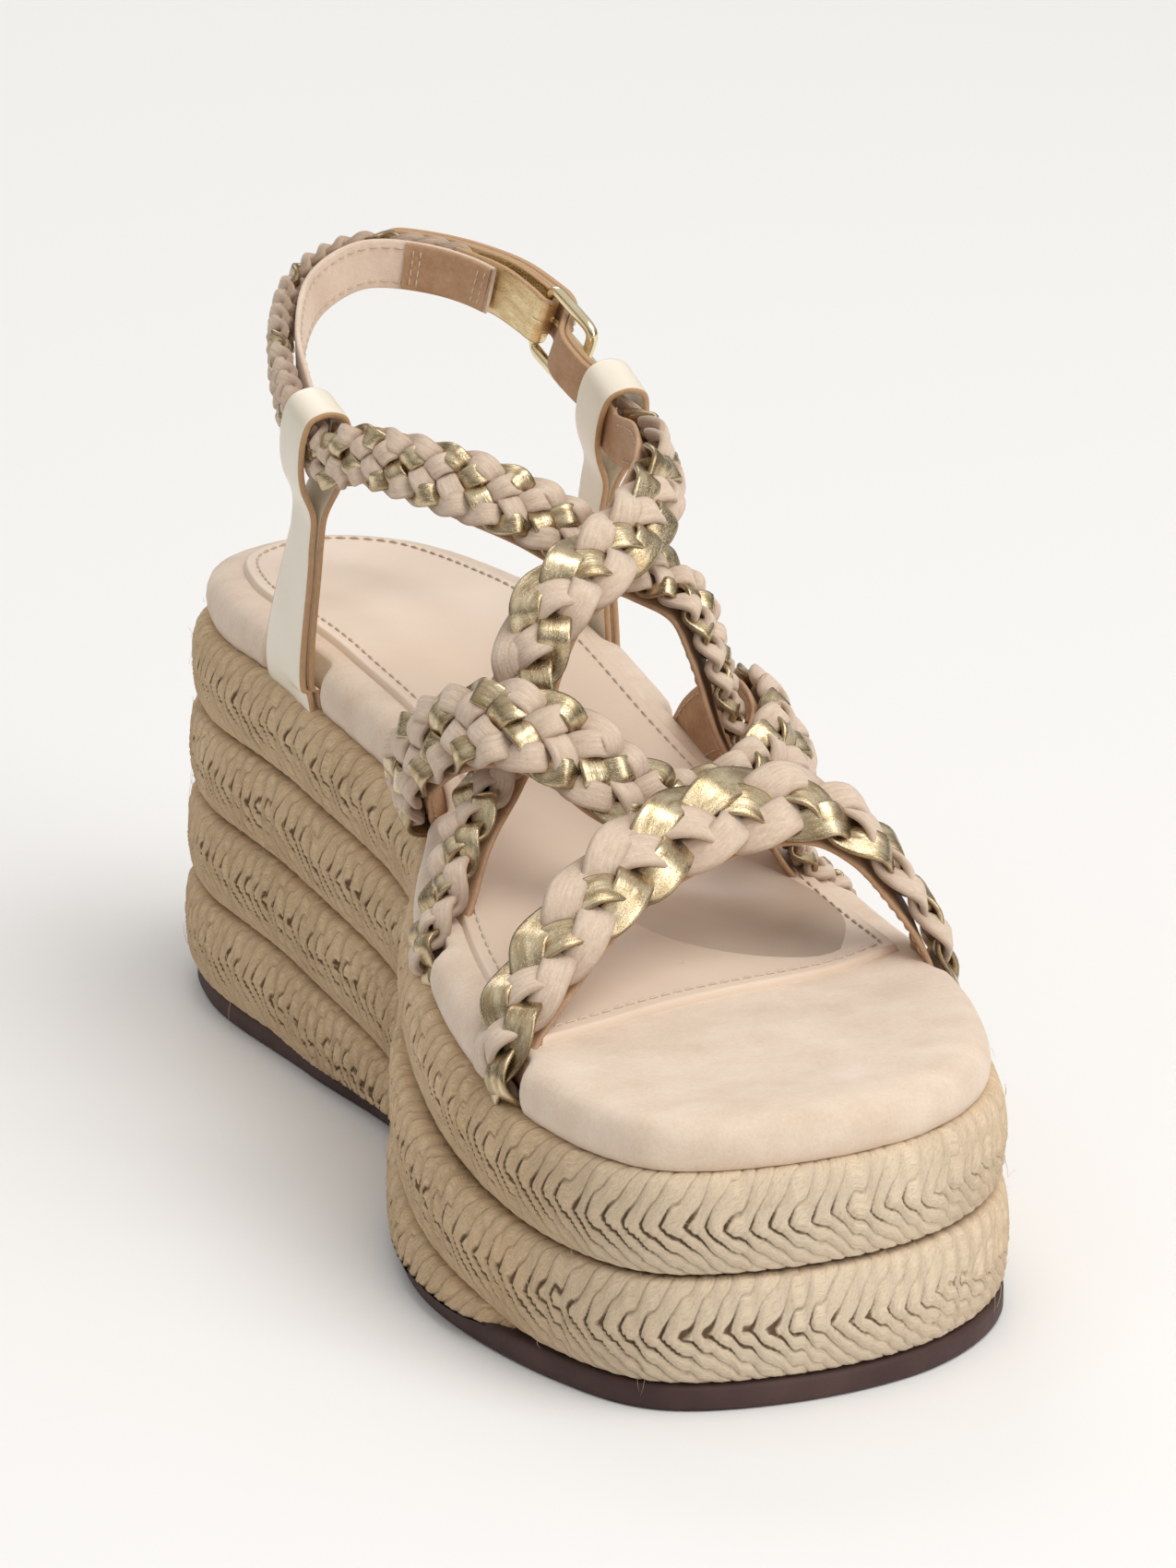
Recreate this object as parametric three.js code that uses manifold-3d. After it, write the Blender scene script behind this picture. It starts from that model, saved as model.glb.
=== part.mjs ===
// Wedge sandal for the left foot: a jute-wrapped platform wedge, a padded suede footbed,
// braided straps that cross over the foot, and a buckled strap round the heel.
// Millimetres, +Z up. The toe points to -Y, the big-toe (medial) side is -X and the
// little-toe (lateral) side is +X. The origin is on the ground at mid-length.
import * as THREE from 'three';
import { mergeVertices } from 'three/addons/utils/BufferGeometryUtils.js';
import Module from 'manifold-3d';

const wasm = await Module();
wasm.setup();

// ---------------------------------------------------------------- driving dimensions
const SOLE_LENGTH = 254;
const SOLE_WIDTH = 98.5; // across the ball
const TOE_HEIGHT = 41.5; // top edge of the jute at the toe
const HEEL_HEIGHT = 73.5; // top edge of the jute under the heel
const CLEAR = 0.3; // gap between pieces that touch
const POCKET_CLEAR = 0.5; // gap round a strap in the pocket cut for it

const OUTSOLE_THICKNESS = 4.5;
const OUTSOLE_FLARE = 0.6;
const TREAD_DEPTH = 1.2;
const TREAD_WIDTH = 1.6;
const TREAD_PITCH = 6;

const JUTE_THICKNESS = 5.5;
const JUTE_ROWS = 4;
const JUTE_TOE_PITCH = 18.2; // height of one row at the toe
const JUTE_HEEL_PITCH = 17.1; // and at the heel
const JUTE_ROW_FLARE = 0.7; // each row stands this much further out than the one above
const JUTE_SHORTEST = 3; // a row ends where it gets lower than this
const BALL_BULGE = 2.6; // extra swell of the lower rows beside the big-toe joint

const BOARD_THICKNESS = 1.5;
const SHANK_THICKNESS = 1.2;
const SHANK_WIDTH = 14;
const SHANK_LENGTH = 112;
const FOOTBED_HEIGHT = 8.5; // suede rim above the jute
const FOOTBED_INSET = 2.6; // foot of the suede rim, in from the edge of the jute
const FOOTBED_ROUNDING = 3; // the upper part of the rim draws in this much more
const FOOTBED_SHOULDER = 5; // and starts this high above the jute
const FOOTBED_SKIN = 1.5;
const SOCK_THICKNESS = 1;
const SOCK_MARGIN = 8.4; // suede left showing round the sock lining
const SOCK_FRONT = -71; // its cut front edge, on the centre line
const SOCK_FRONT_SLANT = 0.31; // the edge runs this much further back per mm to the side

const BRAID_THICKNESS = 4.6;
const LINING_THICKNESS = 1.2;
const LINING_GAP = 0.7; // room for the braid's uneven back
const TAIL_DEPTH = 9; // how far a strap reaches down beside the footbed
const TAIL_INSET = 3.6; // middle of a strap's tail, in from the edge of the jute
const TAIL_TUCK = 1.4; // it slants inward this much below that, and outward above it
const ANKLE_STRAP_HEIGHT = 10.5;

const TAB_LEATHER = 1.4;
const TAB_LOOP_LENGTH = 11;
const TAB_NECK_WIDTH = 9;
const TAB_FOOT_WIDTH = 19;
const LOOP_HALF_HEIGHT = 7.6; // room in the loop, so that the strap can tilt in it
const LOOP_SIDE_ROOM = 0.6;

const BUCKLE_LENGTH = 14; // between the middles of its two cross bars
const BUCKLE_HEIGHT = 16.4;
const BUCKLE_WIRE = 2.2;
const BUCKLE_CORNER = 2.4;
const HINGE_BAR_RADIUS = 0.9;
const BAR_FROM_LOOP = 29; // hinge bar, measured along the strap from the lateral loop
const CHAPE_LEATHER = 1.1;
const CHAPE_LENGTH = 21;
const CHAPE_WIDTH = 10;
const PRONG_WIRE = 1.2;
const BILLET_LEATHER = 1.4;
const BILLET_LINING = 0.9;
const BILLET_WIDTH = 9.6;
const BILLET_TAIL = 36; // free end beyond the hinge bar
const PRONG_SLOT_WIDTH = 2.4;

// ---------------------------------------------------------------- finishes
const finish = (color, roughness, metalness = 0) =>
  new THREE.MeshStandardMaterial({ color, roughness, metalness });
const RUBBER = finish(0x4a2e2a, 0.7);
const CORE = finish(0xb9a583, 0.9);
const JUTE = finish(0xc9b48d, 0.95);
const STEEL = finish(0x8d9096, 0.4, 1);
const BOARD = finish(0x8a7355, 0.9);
const FOAM = finish(0xefe6d2, 0.95);
const SUEDE = finish(0xe3c5ac, 0.9);
const SMOOTH_LEATHER = finish(0xe2cbb4, 0.45);
const BRAID = finish(0xd9bf9f, 0.6);
const BACKING = finish(0xb98a66, 0.7);
const CREAM_LEATHER = finish(0xe6dac4, 0.4);
const GOLD_LEATHER = finish(0xc9b88c, 0.35, 0.6);
const GOLD = finish(0xd8c58f, 0.25, 1);

// ---------------------------------------------------------------- solids
const toSolid = (geometry) => {
  const bare = geometry.clone();
  bare.deleteAttribute('normal');
  bare.deleteAttribute('uv');
  const merged = mergeVertices(bare, 1e-4);
  return new wasm.Manifold(new wasm.Mesh({
    numProp: 3,
    vertProperties: new Float32Array(merged.attributes.position.array),
    triVerts: new Uint32Array(merged.index.array),
  }));
};

const toGeometry = (solid) => {
  const { vertProperties, triVerts } = solid.getMesh();
  const geometry = new THREE.BufferGeometry();
  geometry.setAttribute('position', new THREE.BufferAttribute(vertProperties, 3));
  geometry.setIndex(new THREE.BufferAttribute(triVerts, 1));
  geometry.computeVertexNormals();
  return geometry;
};

const smoothstep = (t) => {
  const u = THREE.MathUtils.clamp(t, 0, 1);
  return u * u * (3 - 2 * u);
};

const vec = (x, y, z) => new THREE.Vector3(x, y, z);

// A closed solid skinned over a row of matching section rings, capped at both ends.
function skin(rings) {
  const count = rings[0].length;
  const last = (rings.length - 1) * count;
  const index = [];
  for (let ring = 0; ring < rings.length - 1; ring++) {
    for (let i = 0; i < count; i++) {
      const a = ring * count + i;
      const b = ring * count + ((i + 1) % count);
      index.push(a, b, b + count, a, b + count, a + count);
    }
  }
  for (let i = 1; i < count - 1; i++) {
    index.push(0, i + 1, i, last, last + i, last + i + 1);
  }
  const geometry = new THREE.BufferGeometry();
  geometry.setAttribute('position', new THREE.Float32BufferAttribute(
    rings.flat().flatMap((p) => [p.x, p.y, p.z]), 3));
  geometry.setIndex(index);
  return geometry;
}

// ---------------------------------------------------------------- sole outline
// Plan of the jute's top edge on a last 254 long and 98.5 wide, counter-clockwise from
// the heel as seen from above.
const LAST_LENGTH = 254;
const LAST_WIDTH = 98.5;
const gradeX = SOLE_WIDTH / LAST_WIDTH;
const gradeY = SOLE_LENGTH / LAST_LENGTH;
const OUTLINE = new THREE.CatmullRomCurve3([
  [-1, 127.3], [-23, 117.5], [-31.5, 94], [-29, 50], [-26.3, 6], // heel and inner waist
  [-43, -30], [-49.5, -68], [-45, -103], [-35, -120.5], // big-toe side
  [-13, -127], [14, -123.5], [33, -110], [42, -92], [49, -55], // toe and little-toe side
  [46.5, -15], [39.5, 25], [34, 70], [21, 115], // outer waist
].map(([x, y]) => vec(x * gradeX, y * gradeY, 0)), true, 'centripetal');
const OUTLINE_STEPS = 60;

// The outline moved inward by inset; swell pushes it out beside the big-toe joint.
function outline(inset, swell = 0) {
  const points = [];
  for (let i = 0; i < OUTLINE_STEPS; i++) {
    const p = OUTLINE.getPointAt(i / OUTLINE_STEPS);
    const t = OUTLINE.getTangentAt(i / OUTLINE_STEPS);
    const besideBall = smoothstep(1 - Math.abs(p.y / gradeY + 58) / 50) * (p.x < 0 ? 1 : 0);
    const out = swell * besideBall - inset;
    points.push(new THREE.Vector2(p.x + t.y * out, p.y - t.x * out));
  }
  return points;
}

// The outline's x at a given y, on the medial (-1) or lateral (+1) side.
function edgeX(side, y, inset) {
  const points = outline(inset);
  let found = 0;
  points.forEach((a, i) => {
    const b = points[(i + 1) % points.length];
    const crosses = (a.y - y) * (b.y - y) <= 0 && a.y !== b.y;
    const x = a.x + ((b.x - a.x) * (y - a.y)) / (b.y - a.y);
    if (crosses && x * side > 0) found = x;
  });
  return found;
}

// Height of the jute's top edge. It climbs to the heel, and sooner on the medial side.
function topline(x, y) {
  const rise = HEEL_HEIGHT - TOE_HEIGHT;
  const medial = smoothstep((y / gradeY + 115) / 198);
  const lateral = smoothstep((y / gradeY + 50) / 128);
  const across = smoothstep((x / SOLE_WIDTH + 0.3) / 0.6);
  return TOE_HEIGHT + rise * THREE.MathUtils.lerp(medial, lateral, across);
}

// Height of a jute row, which shrinks a little toward the heel.
function rowPitch(x, y) {
  const climbed = (topline(x, y) - TOE_HEIGHT) / (HEEL_HEIGHT - TOE_HEIGHT);
  return THREE.MathUtils.lerp(JUTE_TOE_PITCH, JUTE_HEEL_PITCH, climbed);
}

// A block under a height field z = height(x, y), as wide and long as the whole sole.
const DEEP = -50;
function below(height) {
  const margin = 30;
  const block = new THREE.BoxGeometry(SOLE_WIDTH + margin, SOLE_LENGTH + margin, 1, 4, 13, 1);
  const position = block.attributes.position;
  for (let i = 0; i < position.count; i++) {
    const upper = position.getZ(i) > 0;
    const z = upper ? height(position.getX(i), position.getY(i)) : DEEP;
    position.setZ(i, z);
  }
  return toSolid(block);
}

function prism(points, z0, z1, hole = null) {
  const shape = new THREE.Shape(points);
  if (hole) shape.holes.push(new THREE.Path(hole));
  const block = new THREE.ExtrudeGeometry(shape, { depth: z1 - z0, bevelEnabled: false });
  return toSolid(block.translate(0, 0, z0));
}

// A layer of the sole: the inset outline between two heights above the topline.
const TALL = HEEL_HEIGHT + 40;
function layer(points, low, high) {
  return prism(points, 0, TALL)
    .intersect(below((x, y) => topline(x, y) + high))
    .subtract(below((x, y) => topline(x, y) + low));
}

// ---------------------------------------------------------------- straps
// A ribbon carried along a route. Each row of the route is a place, the direction that its
// outer face looks, and its width. offset moves the ribbon along that direction, and grow
// swells it on every side, to cut the pocket that it lies in.
const FLAT = [[-0.5, -0.5], [-0.5, 0.5], [0.5, 0.5], [0.5, -0.5]];
const ROUNDED = [[-0.5, 0], [-0.36, 0.5], [0.36, 0.5], [0.5, 0], [0.36, -0.5], [-0.36, -0.5]];

function ribbon(route, { thickness, offset = 0, grow = 0, steps = 40, section = FLAT }) {
  const places = new THREE.CatmullRomCurve3(route.map((row) => row.at), false, 'centripetal');
  const facings = new THREE.CatmullRomCurve3(route.map((row) => row.facing), false, 'centripetal');
  const rings = [];
  for (let step = 0; step <= steps; step++) {
    const t = step / steps;
    const along = places.getTangent(t);
    const out = facings.getPoint(t);
    out.addScaledVector(along, -out.dot(along)).normalize();
    const across = vec().crossVectors(along, out);
    const row = t * (route.length - 1);
    const next = Math.min(Math.floor(row) + 1, route.length - 1);
    const width = THREE.MathUtils.lerp(route[Math.floor(row)].width, route[next].width, row % 1);
    const end = step === 0 ? -grow : step === steps ? grow : 0;
    const middle = places.getPoint(t).addScaledVector(out, offset).addScaledVector(along, end);
    rings.push(section.map(([u, v]) => middle.clone()
      .addScaledVector(across, u * (width + 2 * grow))
      .addScaledVector(out, v * (thickness + 2 * grow))));
  }
  return skin(rings);
}

const STACK = BRAID_THICKNESS + LINING_GAP + LINING_THICKNESS;

// The routes are drawn for straps 6.5 thick. Each strap rises by one layer's extra
// thickness for every strap that it crosses over.
const DRAWN_STACK = 6.5;
const over = (layers, rows) => rows.map((row) => ({
  ...row, at: row.at.clone().addScaledVector(row.facing, layers * (STACK - DRAWN_STACK)) }));

// A place on a route, given on the last: x and y in plan, and height above the topline.
const onLast = (x, y, height, facing, width) => ({
  at: vec(x * gradeX, y * gradeY, topline(x * gradeX, y * gradeY) + height),
  facing: vec(...facing),
  width,
});

// The rows of a strap's tail, which stands in its pocket beside the footbed. lean is how
// far it moves toward the toe for each millimetre that it rises.
function tail(side, lastY, width, lean = 0) {
  const row = (inset, height) => {
    const y = lastY * gradeY - lean * height;
    const x = edgeX(side, y, inset);
    return { at: vec(x, y, topline(x, y) + height), facing: vec(side, 0, 0), width };
  };
  return [row(TAIL_INSET + TAIL_TUCK, -TAIL_DEPTH), row(TAIL_INSET, -1),
    row(TAIL_INSET - TAIL_TUCK, 4)];
}

// Routes of the braids, from the big-toe side to the little-toe side.
const TOE_ROUTE = [
  ...tail(-1, -80.5, 12),
  ...over(3, [
    onLast(-44, -78.5, 11.3, [-0.85, -0.4, 0.4], 13),
    onLast(-36, -74.6, 18, [-0.65, -0.6, 0.5], 14),
    onLast(-25.2, -69.2, 24.8, [-0.4, -0.7, 0.6], 15),
    onLast(-13.6, -62.9, 29.5, [-0.2, -0.72, 0.65], 16),
    onLast(-0.2, -57.9, 33.5, [0, -0.72, 0.7], 16),
    onLast(14, -54.5, 36.6, [0.2, -0.7, 0.68], 16),
    onLast(25.1, -54.9, 36.5, [0.45, -0.62, 0.64], 15),
    onLast(33.4, -57.5, 31.2, [0.65, -0.55, 0.5], 14),
    onLast(40, -60.1, 21.9, [0.85, -0.4, 0.35], 13),
    onLast(45, -61.5, 13.1, [0.93, -0.3, 0.2], 12.5),
  ]),
  ...tail(1, -62, 12).reverse(),
];
const VAMP_ROUTE = [
  ...tail(-1, 7, 15, 0.5),
  ...over(2, [
    onLast(-30.5, -1, 10, [-0.97, -0.12, 0.12], 15),
    onLast(-33.5, -8.5, 19.6, [-0.92, -0.22, 0.27], 16),
    onLast(-31.6, -22.6, 33.2, [-0.72, -0.48, 0.48], 16),
    onLast(-25, -36.6, 41.3, [-0.5, -0.65, 0.58], 16),
    onLast(-15.2, -41, 39.3, [-0.3, -0.72, 0.62], 16),
    onLast(-7.2, -44.4, 34.6, [-0.12, -0.75, 0.65], 15),
    onLast(4.3, -46, 32.2, [0, -0.72, 0.7], 15), // under the toe strap
    onLast(18.7, -42.5, 35.6, [0.35, -0.65, 0.66], 15),
    onLast(33, -27, 36.3, [0.72, -0.42, 0.54], 16),
    onLast(38, -10, 31.9, [0.9, -0.15, 0.4], 16),
    onLast(39, 4.5, 22.5, [0.96, -0.05, 0.26], 16),
    onLast(38.4, 16, 11.4, [1, 0, 0.1], 15),
  ]),
  ...tail(1, 23, 15, 0.5).reverse(),
];
const INSTEP_A_ROUTE = [
  ...tail(-1, -40.5, 9),
  ...over(1, [
    onLast(-39, -38, 10.5, [-0.93, -0.28, 0.22], 9.5),
    onLast(-33.5, -34, 20.3, [-0.87, -0.38, 0.33], 10),
    onLast(-24.8, -27, 26.8, [-0.8, -0.45, 0.4], 11),
    onLast(-20.6, -26.6, 35.6, [-0.7, -0.52, 0.48], 12), // under the vamp strap
    onLast(-16.8, -24.5, 46.3, [-0.6, -0.6, 0.5], 13),
    onLast(-11, -22.5, 56.5, [-0.35, -0.67, 0.62], 14),
    onLast(0.2, -17.8, 63.4, [-0.05, -0.72, 0.7], 14), // over the other instep strap
    onLast(11.6, -10, 67.8, [0.35, -0.62, 0.68], 13),
    onLast(22.8, 4, 68.2, [0.75, -0.4, 0.45], 12),
    onLast(28.6, 20, 63.2, [0.95, -0.2, 0.2], 11),
  ]),
];
const INSTEP_B_ROUTE = [
  onLast(-27.8, 30, 57.2, [-0.97, -0.2, 0.1], 11),
  onLast(-22.5, 20, 59.6, [-0.85, -0.4, 0.3], 12),
  onLast(-14.5, 9, 61.4, [-0.55, -0.6, 0.5], 13),
  onLast(-5, 1, 61.6, [-0.25, -0.7, 0.65], 13),
  onLast(5.6, -5, 59.4, [0.05, -0.72, 0.7], 13), // under the other instep strap
  onLast(14.8, -6.6, 57.4, [0.32, -0.7, 0.64], 13),
  onLast(21.3, -11.8, 54.6, [0.6, -0.6, 0.52], 12),
  onLast(24, -15, 46.8, [0.75, -0.5, 0.42], 11),
  onLast(26.6, -17.8, 35.2, [0.85, -0.4, 0.35], 10), // under the vamp strap
  onLast(30.5, -21, 26, [0.9, -0.3, 0.3], 9.5),
  onLast(37, -22.8, 12.5, [0.95, -0.2, 0.22], 9.5),
  ...tail(1, -23, 9).reverse(),
];

// The ankle ring runs from the medial loop round the heel to the lateral loop.
const RING_ROUTE = [
  onLast(-29.5, 44, 53.7, [-1, 0, 0], ANKLE_STRAP_HEIGHT),
  onLast(-29.4, 52, 54.6, [-1, 0, 0], ANKLE_STRAP_HEIGHT),
  onLast(-28, 60, 56.6, [-0.98, 0.1, 0], ANKLE_STRAP_HEIGHT),
  onLast(-24, 73, 60.7, [-0.85, 0.5, 0], ANKLE_STRAP_HEIGHT),
  onLast(-14, 88, 66.5, [-0.5, 0.85, 0], ANKLE_STRAP_HEIGHT),
  onLast(0, 94.5, 69.5, [0, 1, 0], ANKLE_STRAP_HEIGHT),
  onLast(13, 90.5, 68.5, [0.5, 0.85, 0], ANKLE_STRAP_HEIGHT),
  onLast(22.5, 80, 66, [0.85, 0.5, 0], ANKLE_STRAP_HEIGHT),
  onLast(27.5, 69, 62, [0.97, 0.25, 0], ANKLE_STRAP_HEIGHT),
  onLast(29.9, 60, 58.4, [1, 0.08, 0], ANKLE_STRAP_HEIGHT),
  onLast(31, 52, 56, [1, 0, 0], ANKLE_STRAP_HEIGHT),
  onLast(31, 44, 55.1, [1, 0, 0], ANKLE_STRAP_HEIGHT),
];
const ringPlaces = new THREE.CatmullRomCurve3(RING_ROUTE.map((row) => row.at), false, 'centripetal');
const ringFacings = new THREE.CatmullRomCurve3(
  RING_ROUTE.map((row) => row.facing), false, 'centripetal');
ringPlaces.arcLengthDivisions = 400;
const RING_LENGTH = ringPlaces.getLength();

// The ring's own frame at an arc distance from the medial loop: along, out and up.
function ringFrame(distance) {
  const u = THREE.MathUtils.clamp(distance / RING_LENGTH, 0, 1);
  const at = ringPlaces.getPointAt(u);
  const along = ringPlaces.getTangentAt(u);
  const out = ringFacings.getPoint(ringPlaces.getUtoTmapping(u));
  out.addScaledVector(along, -out.dot(along)).normalize();
  return { at, along, out, up: vec().crossVectors(along, out) };
}
const onRing = (distance, out, width) => {
  const frame = ringFrame(distance);
  return { at: frame.at.addScaledVector(frame.out, out), facing: frame.out, width };
};
const BAR_AT = RING_LENGTH - BAR_FROM_LOOP;
const MEDIAL_LOOP = ringFrame(0);
const LATERAL_LOOP = ringFrame(RING_LENGTH);

// The front straps end inside the loops, just short of the loop's middle.
const SPLIT = 1.5;
const endInLoop = (loop, direction) => [7.5, SPLIT].map((short) => ({
  at: loop.at.clone().addScaledVector(loop.along, direction * short),
  facing: loop.out, width: ANKLE_STRAP_HEIGHT }));
INSTEP_A_ROUTE.push(...endInLoop(LATERAL_LOOP, 1));
INSTEP_B_ROUTE.unshift(...endInLoop(MEDIAL_LOOP, -1).reverse());

const LINING_OFFSET = -(BRAID_THICKNESS / 2 + LINING_GAP + LINING_THICKNESS / 2);
const LINING_SHARE = 0.9; // the lining is cut a little narrower than the braid
const strapSteps = (route) => 4 * (route.length - 1);
const braid = (route) => ribbon(
  route, { thickness: BRAID_THICKNESS, steps: strapSteps(route), section: ROUNDED });
const lining = (route) => ribbon(
  route.map((row) => ({ ...row, width: row.width * LINING_SHARE })),
  { thickness: LINING_THICKNESS, offset: LINING_OFFSET, steps: strapSteps(route) });

// Room for a strap and its lining where they pass the sole.
const strapRoom = (route) => toSolid(ribbon(route, {
  thickness: STACK, offset: (BRAID_THICKNESS - STACK) / 2, grow: POCKET_CLEAR,
  steps: strapSteps(route) }));

// ---------------------------------------------------------------- ankle tabs
// A leather strip that comes up beside the footbed, wraps over the ankle strap and goes
// back down: a hairpin with the loop at its top.
function tabRoute(side, y, loop) {
  const foot = tail(side, y, TAB_FOOT_WIDTH);
  const half = TAB_LEATHER / 2;
  const outer = BRAID_THICKNESS / 2 + LOOP_SIDE_ROOM + half;
  const inner = -(BRAID_THICKNESS / 2 + LINING_GAP + LINING_THICKNESS + LOOP_SIDE_ROOM + half);
  const middle = (outer + inner) / 2;
  const top = LOOP_HALF_HEIGHT + half;
  const leg = half + CLEAR / 2;
  const place = (out, up, facing, width) => ({
    at: loop.at.clone().addScaledVector(loop.out, out).addScaledVector(loop.up, up),
    facing: loop.out.clone().multiplyScalar(facing[0]).addScaledVector(loop.up, facing[1]),
    width });
  const shifted = (row, by) => ({ ...row, at: row.at.clone().addScaledVector(row.facing, by) });
  const upward = foot.map((row) => shifted(row, leg));
  const downward = foot.map((row) => ({ ...shifted(row, -leg), facing: row.facing.clone().negate() }));
  return [
    ...upward,
    place(middle + leg, -top - 11, [1, 0], TAB_NECK_WIDTH),
    place(middle + leg, -top - 5, [1, 0], TAB_NECK_WIDTH + 1),
    place(outer - 0.6, -top + 0.6, [1, -0.4], TAB_LOOP_LENGTH),
    place(outer, -top + 3, [1, 0], TAB_LOOP_LENGTH),
    place(outer, top - 3, [1, 0], TAB_LOOP_LENGTH),
    place(outer - 1, top - 0.5, [0.7, 0.7], TAB_LOOP_LENGTH),
    place(outer - 3, top, [0, 1], TAB_LOOP_LENGTH),
    place(inner + 3, top, [0, 1], TAB_LOOP_LENGTH),
    place(inner + 1, top - 0.5, [-0.7, 0.7], TAB_LOOP_LENGTH),
    place(inner, top - 3, [-1, 0], TAB_LOOP_LENGTH),
    place(inner, -top + 3, [-1, 0], TAB_LOOP_LENGTH),
    place(inner + 0.6, -top + 0.6, [-1, -0.4], TAB_LOOP_LENGTH),
    place(middle - leg, -top - 5, [-1, 0], TAB_NECK_WIDTH + 1),
    place(middle - leg, -top - 11, [-1, 0], TAB_NECK_WIDTH),
    ...downward.reverse(),
  ];
}
const tab = (route) => ribbon(route, { thickness: TAB_LEATHER, steps: 76 });
const tabRoom = (route) => {
  const both = route.slice(0, 5).map((row, i) => {
    const twin = route[route.length - 1 - i];
    return { ...row, at: row.at.clone().lerp(twin.at, 0.5) };
  });
  return toSolid(ribbon(both, {
    thickness: 2 * TAB_LEATHER + CLEAR, grow: POCKET_CLEAR, steps: 12 }));
};
const TAB_Y = 60;
const MEDIAL_TAB_ROUTE = tabRoute(-1, TAB_Y, MEDIAL_LOOP);
const LATERAL_TAB_ROUTE = tabRoute(1, TAB_Y, LATERAL_LOOP);

// ---------------------------------------------------------------- buckle
// The frame's plane is the chord of the ring between its two cross bars.
const barPlace = ringFrame(BAR_AT).at;
const frontPlace = ringFrame(BAR_AT + BUCKLE_LENGTH).at;
const buckleForward = frontPlace.clone().sub(barPlace).normalize();
const buckleOut = ringFrame(BAR_AT).out;
buckleOut.addScaledVector(buckleForward, -buckleOut.dot(buckleForward)).normalize();
const buckleUp = vec().crossVectors(buckleOut, buckleForward);
const buckleFrame = new THREE.Matrix4()
  .makeBasis(buckleForward, buckleUp, buckleOut)
  .setPosition(barPlace);
const onBuckle = (forward, out, facing) => ({
  at: barPlace.clone().addScaledVector(buckleForward, forward).addScaledVector(buckleOut, out),
  facing: buckleForward.clone().multiplyScalar(facing[0]).addScaledVector(buckleOut, facing[1]),
  width: PRONG_WIRE });

function roundedRectangle(x0, x1, halfHeight, radius) {
  const shape = new THREE.Shape();
  shape.absarc(x1 - radius, halfHeight - radius, radius, Math.PI / 2, 0, true);
  shape.absarc(x1 - radius, radius - halfHeight, radius, 0, -Math.PI / 2, true);
  shape.absarc(x0 + radius, radius - halfHeight, radius, -Math.PI / 2, -Math.PI, true);
  shape.absarc(x0 + radius, halfHeight - radius, radius, Math.PI, Math.PI / 2, true);
  return shape;
}

// Three flat sides, closed by the thin round hinge bar.
function buckle() {
  const wire = BUCKLE_WIRE / 2;
  const half = BUCKLE_HEIGHT / 2;
  const outside = roundedRectangle(-wire, BUCKLE_LENGTH + wire, half, BUCKLE_CORNER);
  const openEnd = -2 * BUCKLE_WIRE;
  const hollow = roundedRectangle(
    openEnd, BUCKLE_LENGTH - wire, half - BUCKLE_WIRE, BUCKLE_CORNER / 2);
  const slab = (shape, depth) => toSolid(new THREE.ExtrudeGeometry(
    shape, { depth, bevelEnabled: false, curveSegments: 4 }).translate(0, 0, -depth / 2));
  const bar = new THREE.CylinderGeometry(
    HINGE_BAR_RADIUS, HINGE_BAR_RADIUS, BUCKLE_HEIGHT - BUCKLE_WIRE, 16);
  const frame = slab(outside, BUCKLE_WIRE).subtract(slab(hollow, 3 * BUCKLE_WIRE)).add(toSolid(bar));
  return toGeometry(frame).applyMatrix4(buckleFrame);
}

// A wire ring round the hinge bar with a straight shank that rests on the front bar.
function prong() {
  const radius = HINGE_BAR_RADIUS + CLEAR + PRONG_WIRE / 2;
  const rest = BUCKLE_WIRE / 2 + CLEAR + PRONG_WIRE / 2;
  const route = [];
  const start = -40; // degrees round the bar, from straight ahead on the inner side
  const wrap = 210;
  for (let angle = start; angle >= start - wrap; angle -= 30) {
    const a = THREE.MathUtils.degToRad(angle);
    route.push(onBuckle(radius * Math.cos(a), radius * Math.sin(a), [Math.cos(a), Math.sin(a)]));
  }
  route.push(onBuckle(radius + 1, rest * 0.9, [0, 1]));
  route.push(onBuckle(BUCKLE_LENGTH / 2, rest, [0, 1]));
  route.push(onBuckle(BUCKLE_LENGTH + 1.4, rest, [0, 1]));
  return ribbon(route, { thickness: PRONG_WIRE, steps: 36, section: ROUNDED });
}

// Leather folded round the hinge bar, with a slot for the prong.
function chape() {
  const bend = HINGE_BAR_RADIUS + CLEAR + CHAPE_LEATHER / 2;
  const row = (distance, out) => onRing(BAR_AT - distance, out, CHAPE_WIDTH);
  const route = [row(CHAPE_LENGTH, bend), row(CHAPE_LENGTH / 2, bend), row(3, bend)];
  for (let angle = 90; angle >= -90; angle -= 30) {
    const a = THREE.MathUtils.degToRad(angle);
    route.push({ ...onBuckle(bend * Math.cos(a), bend * Math.sin(a), [Math.cos(a), Math.sin(a)]),
      width: CHAPE_WIDTH });
  }
  const inner = [row(3, -bend), row(CHAPE_LENGTH / 2, -bend), row(CHAPE_LENGTH, -bend)];
  inner.forEach((r) => r.facing.negate());
  const strip = toSolid(ribbon([...route, ...inner], { thickness: CHAPE_LEATHER, steps: 56 }));
  const slot = new THREE.BoxGeometry(12, PRONG_WIRE + 2 * CLEAR, 12).translate(3, 0, 0);
  return toGeometry(strip.subtract(toSolid(slot.applyMatrix4(buckleFrame))));
}

const RING_STEP = 5;
const TONGUE_LENGTH = 11;
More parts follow.
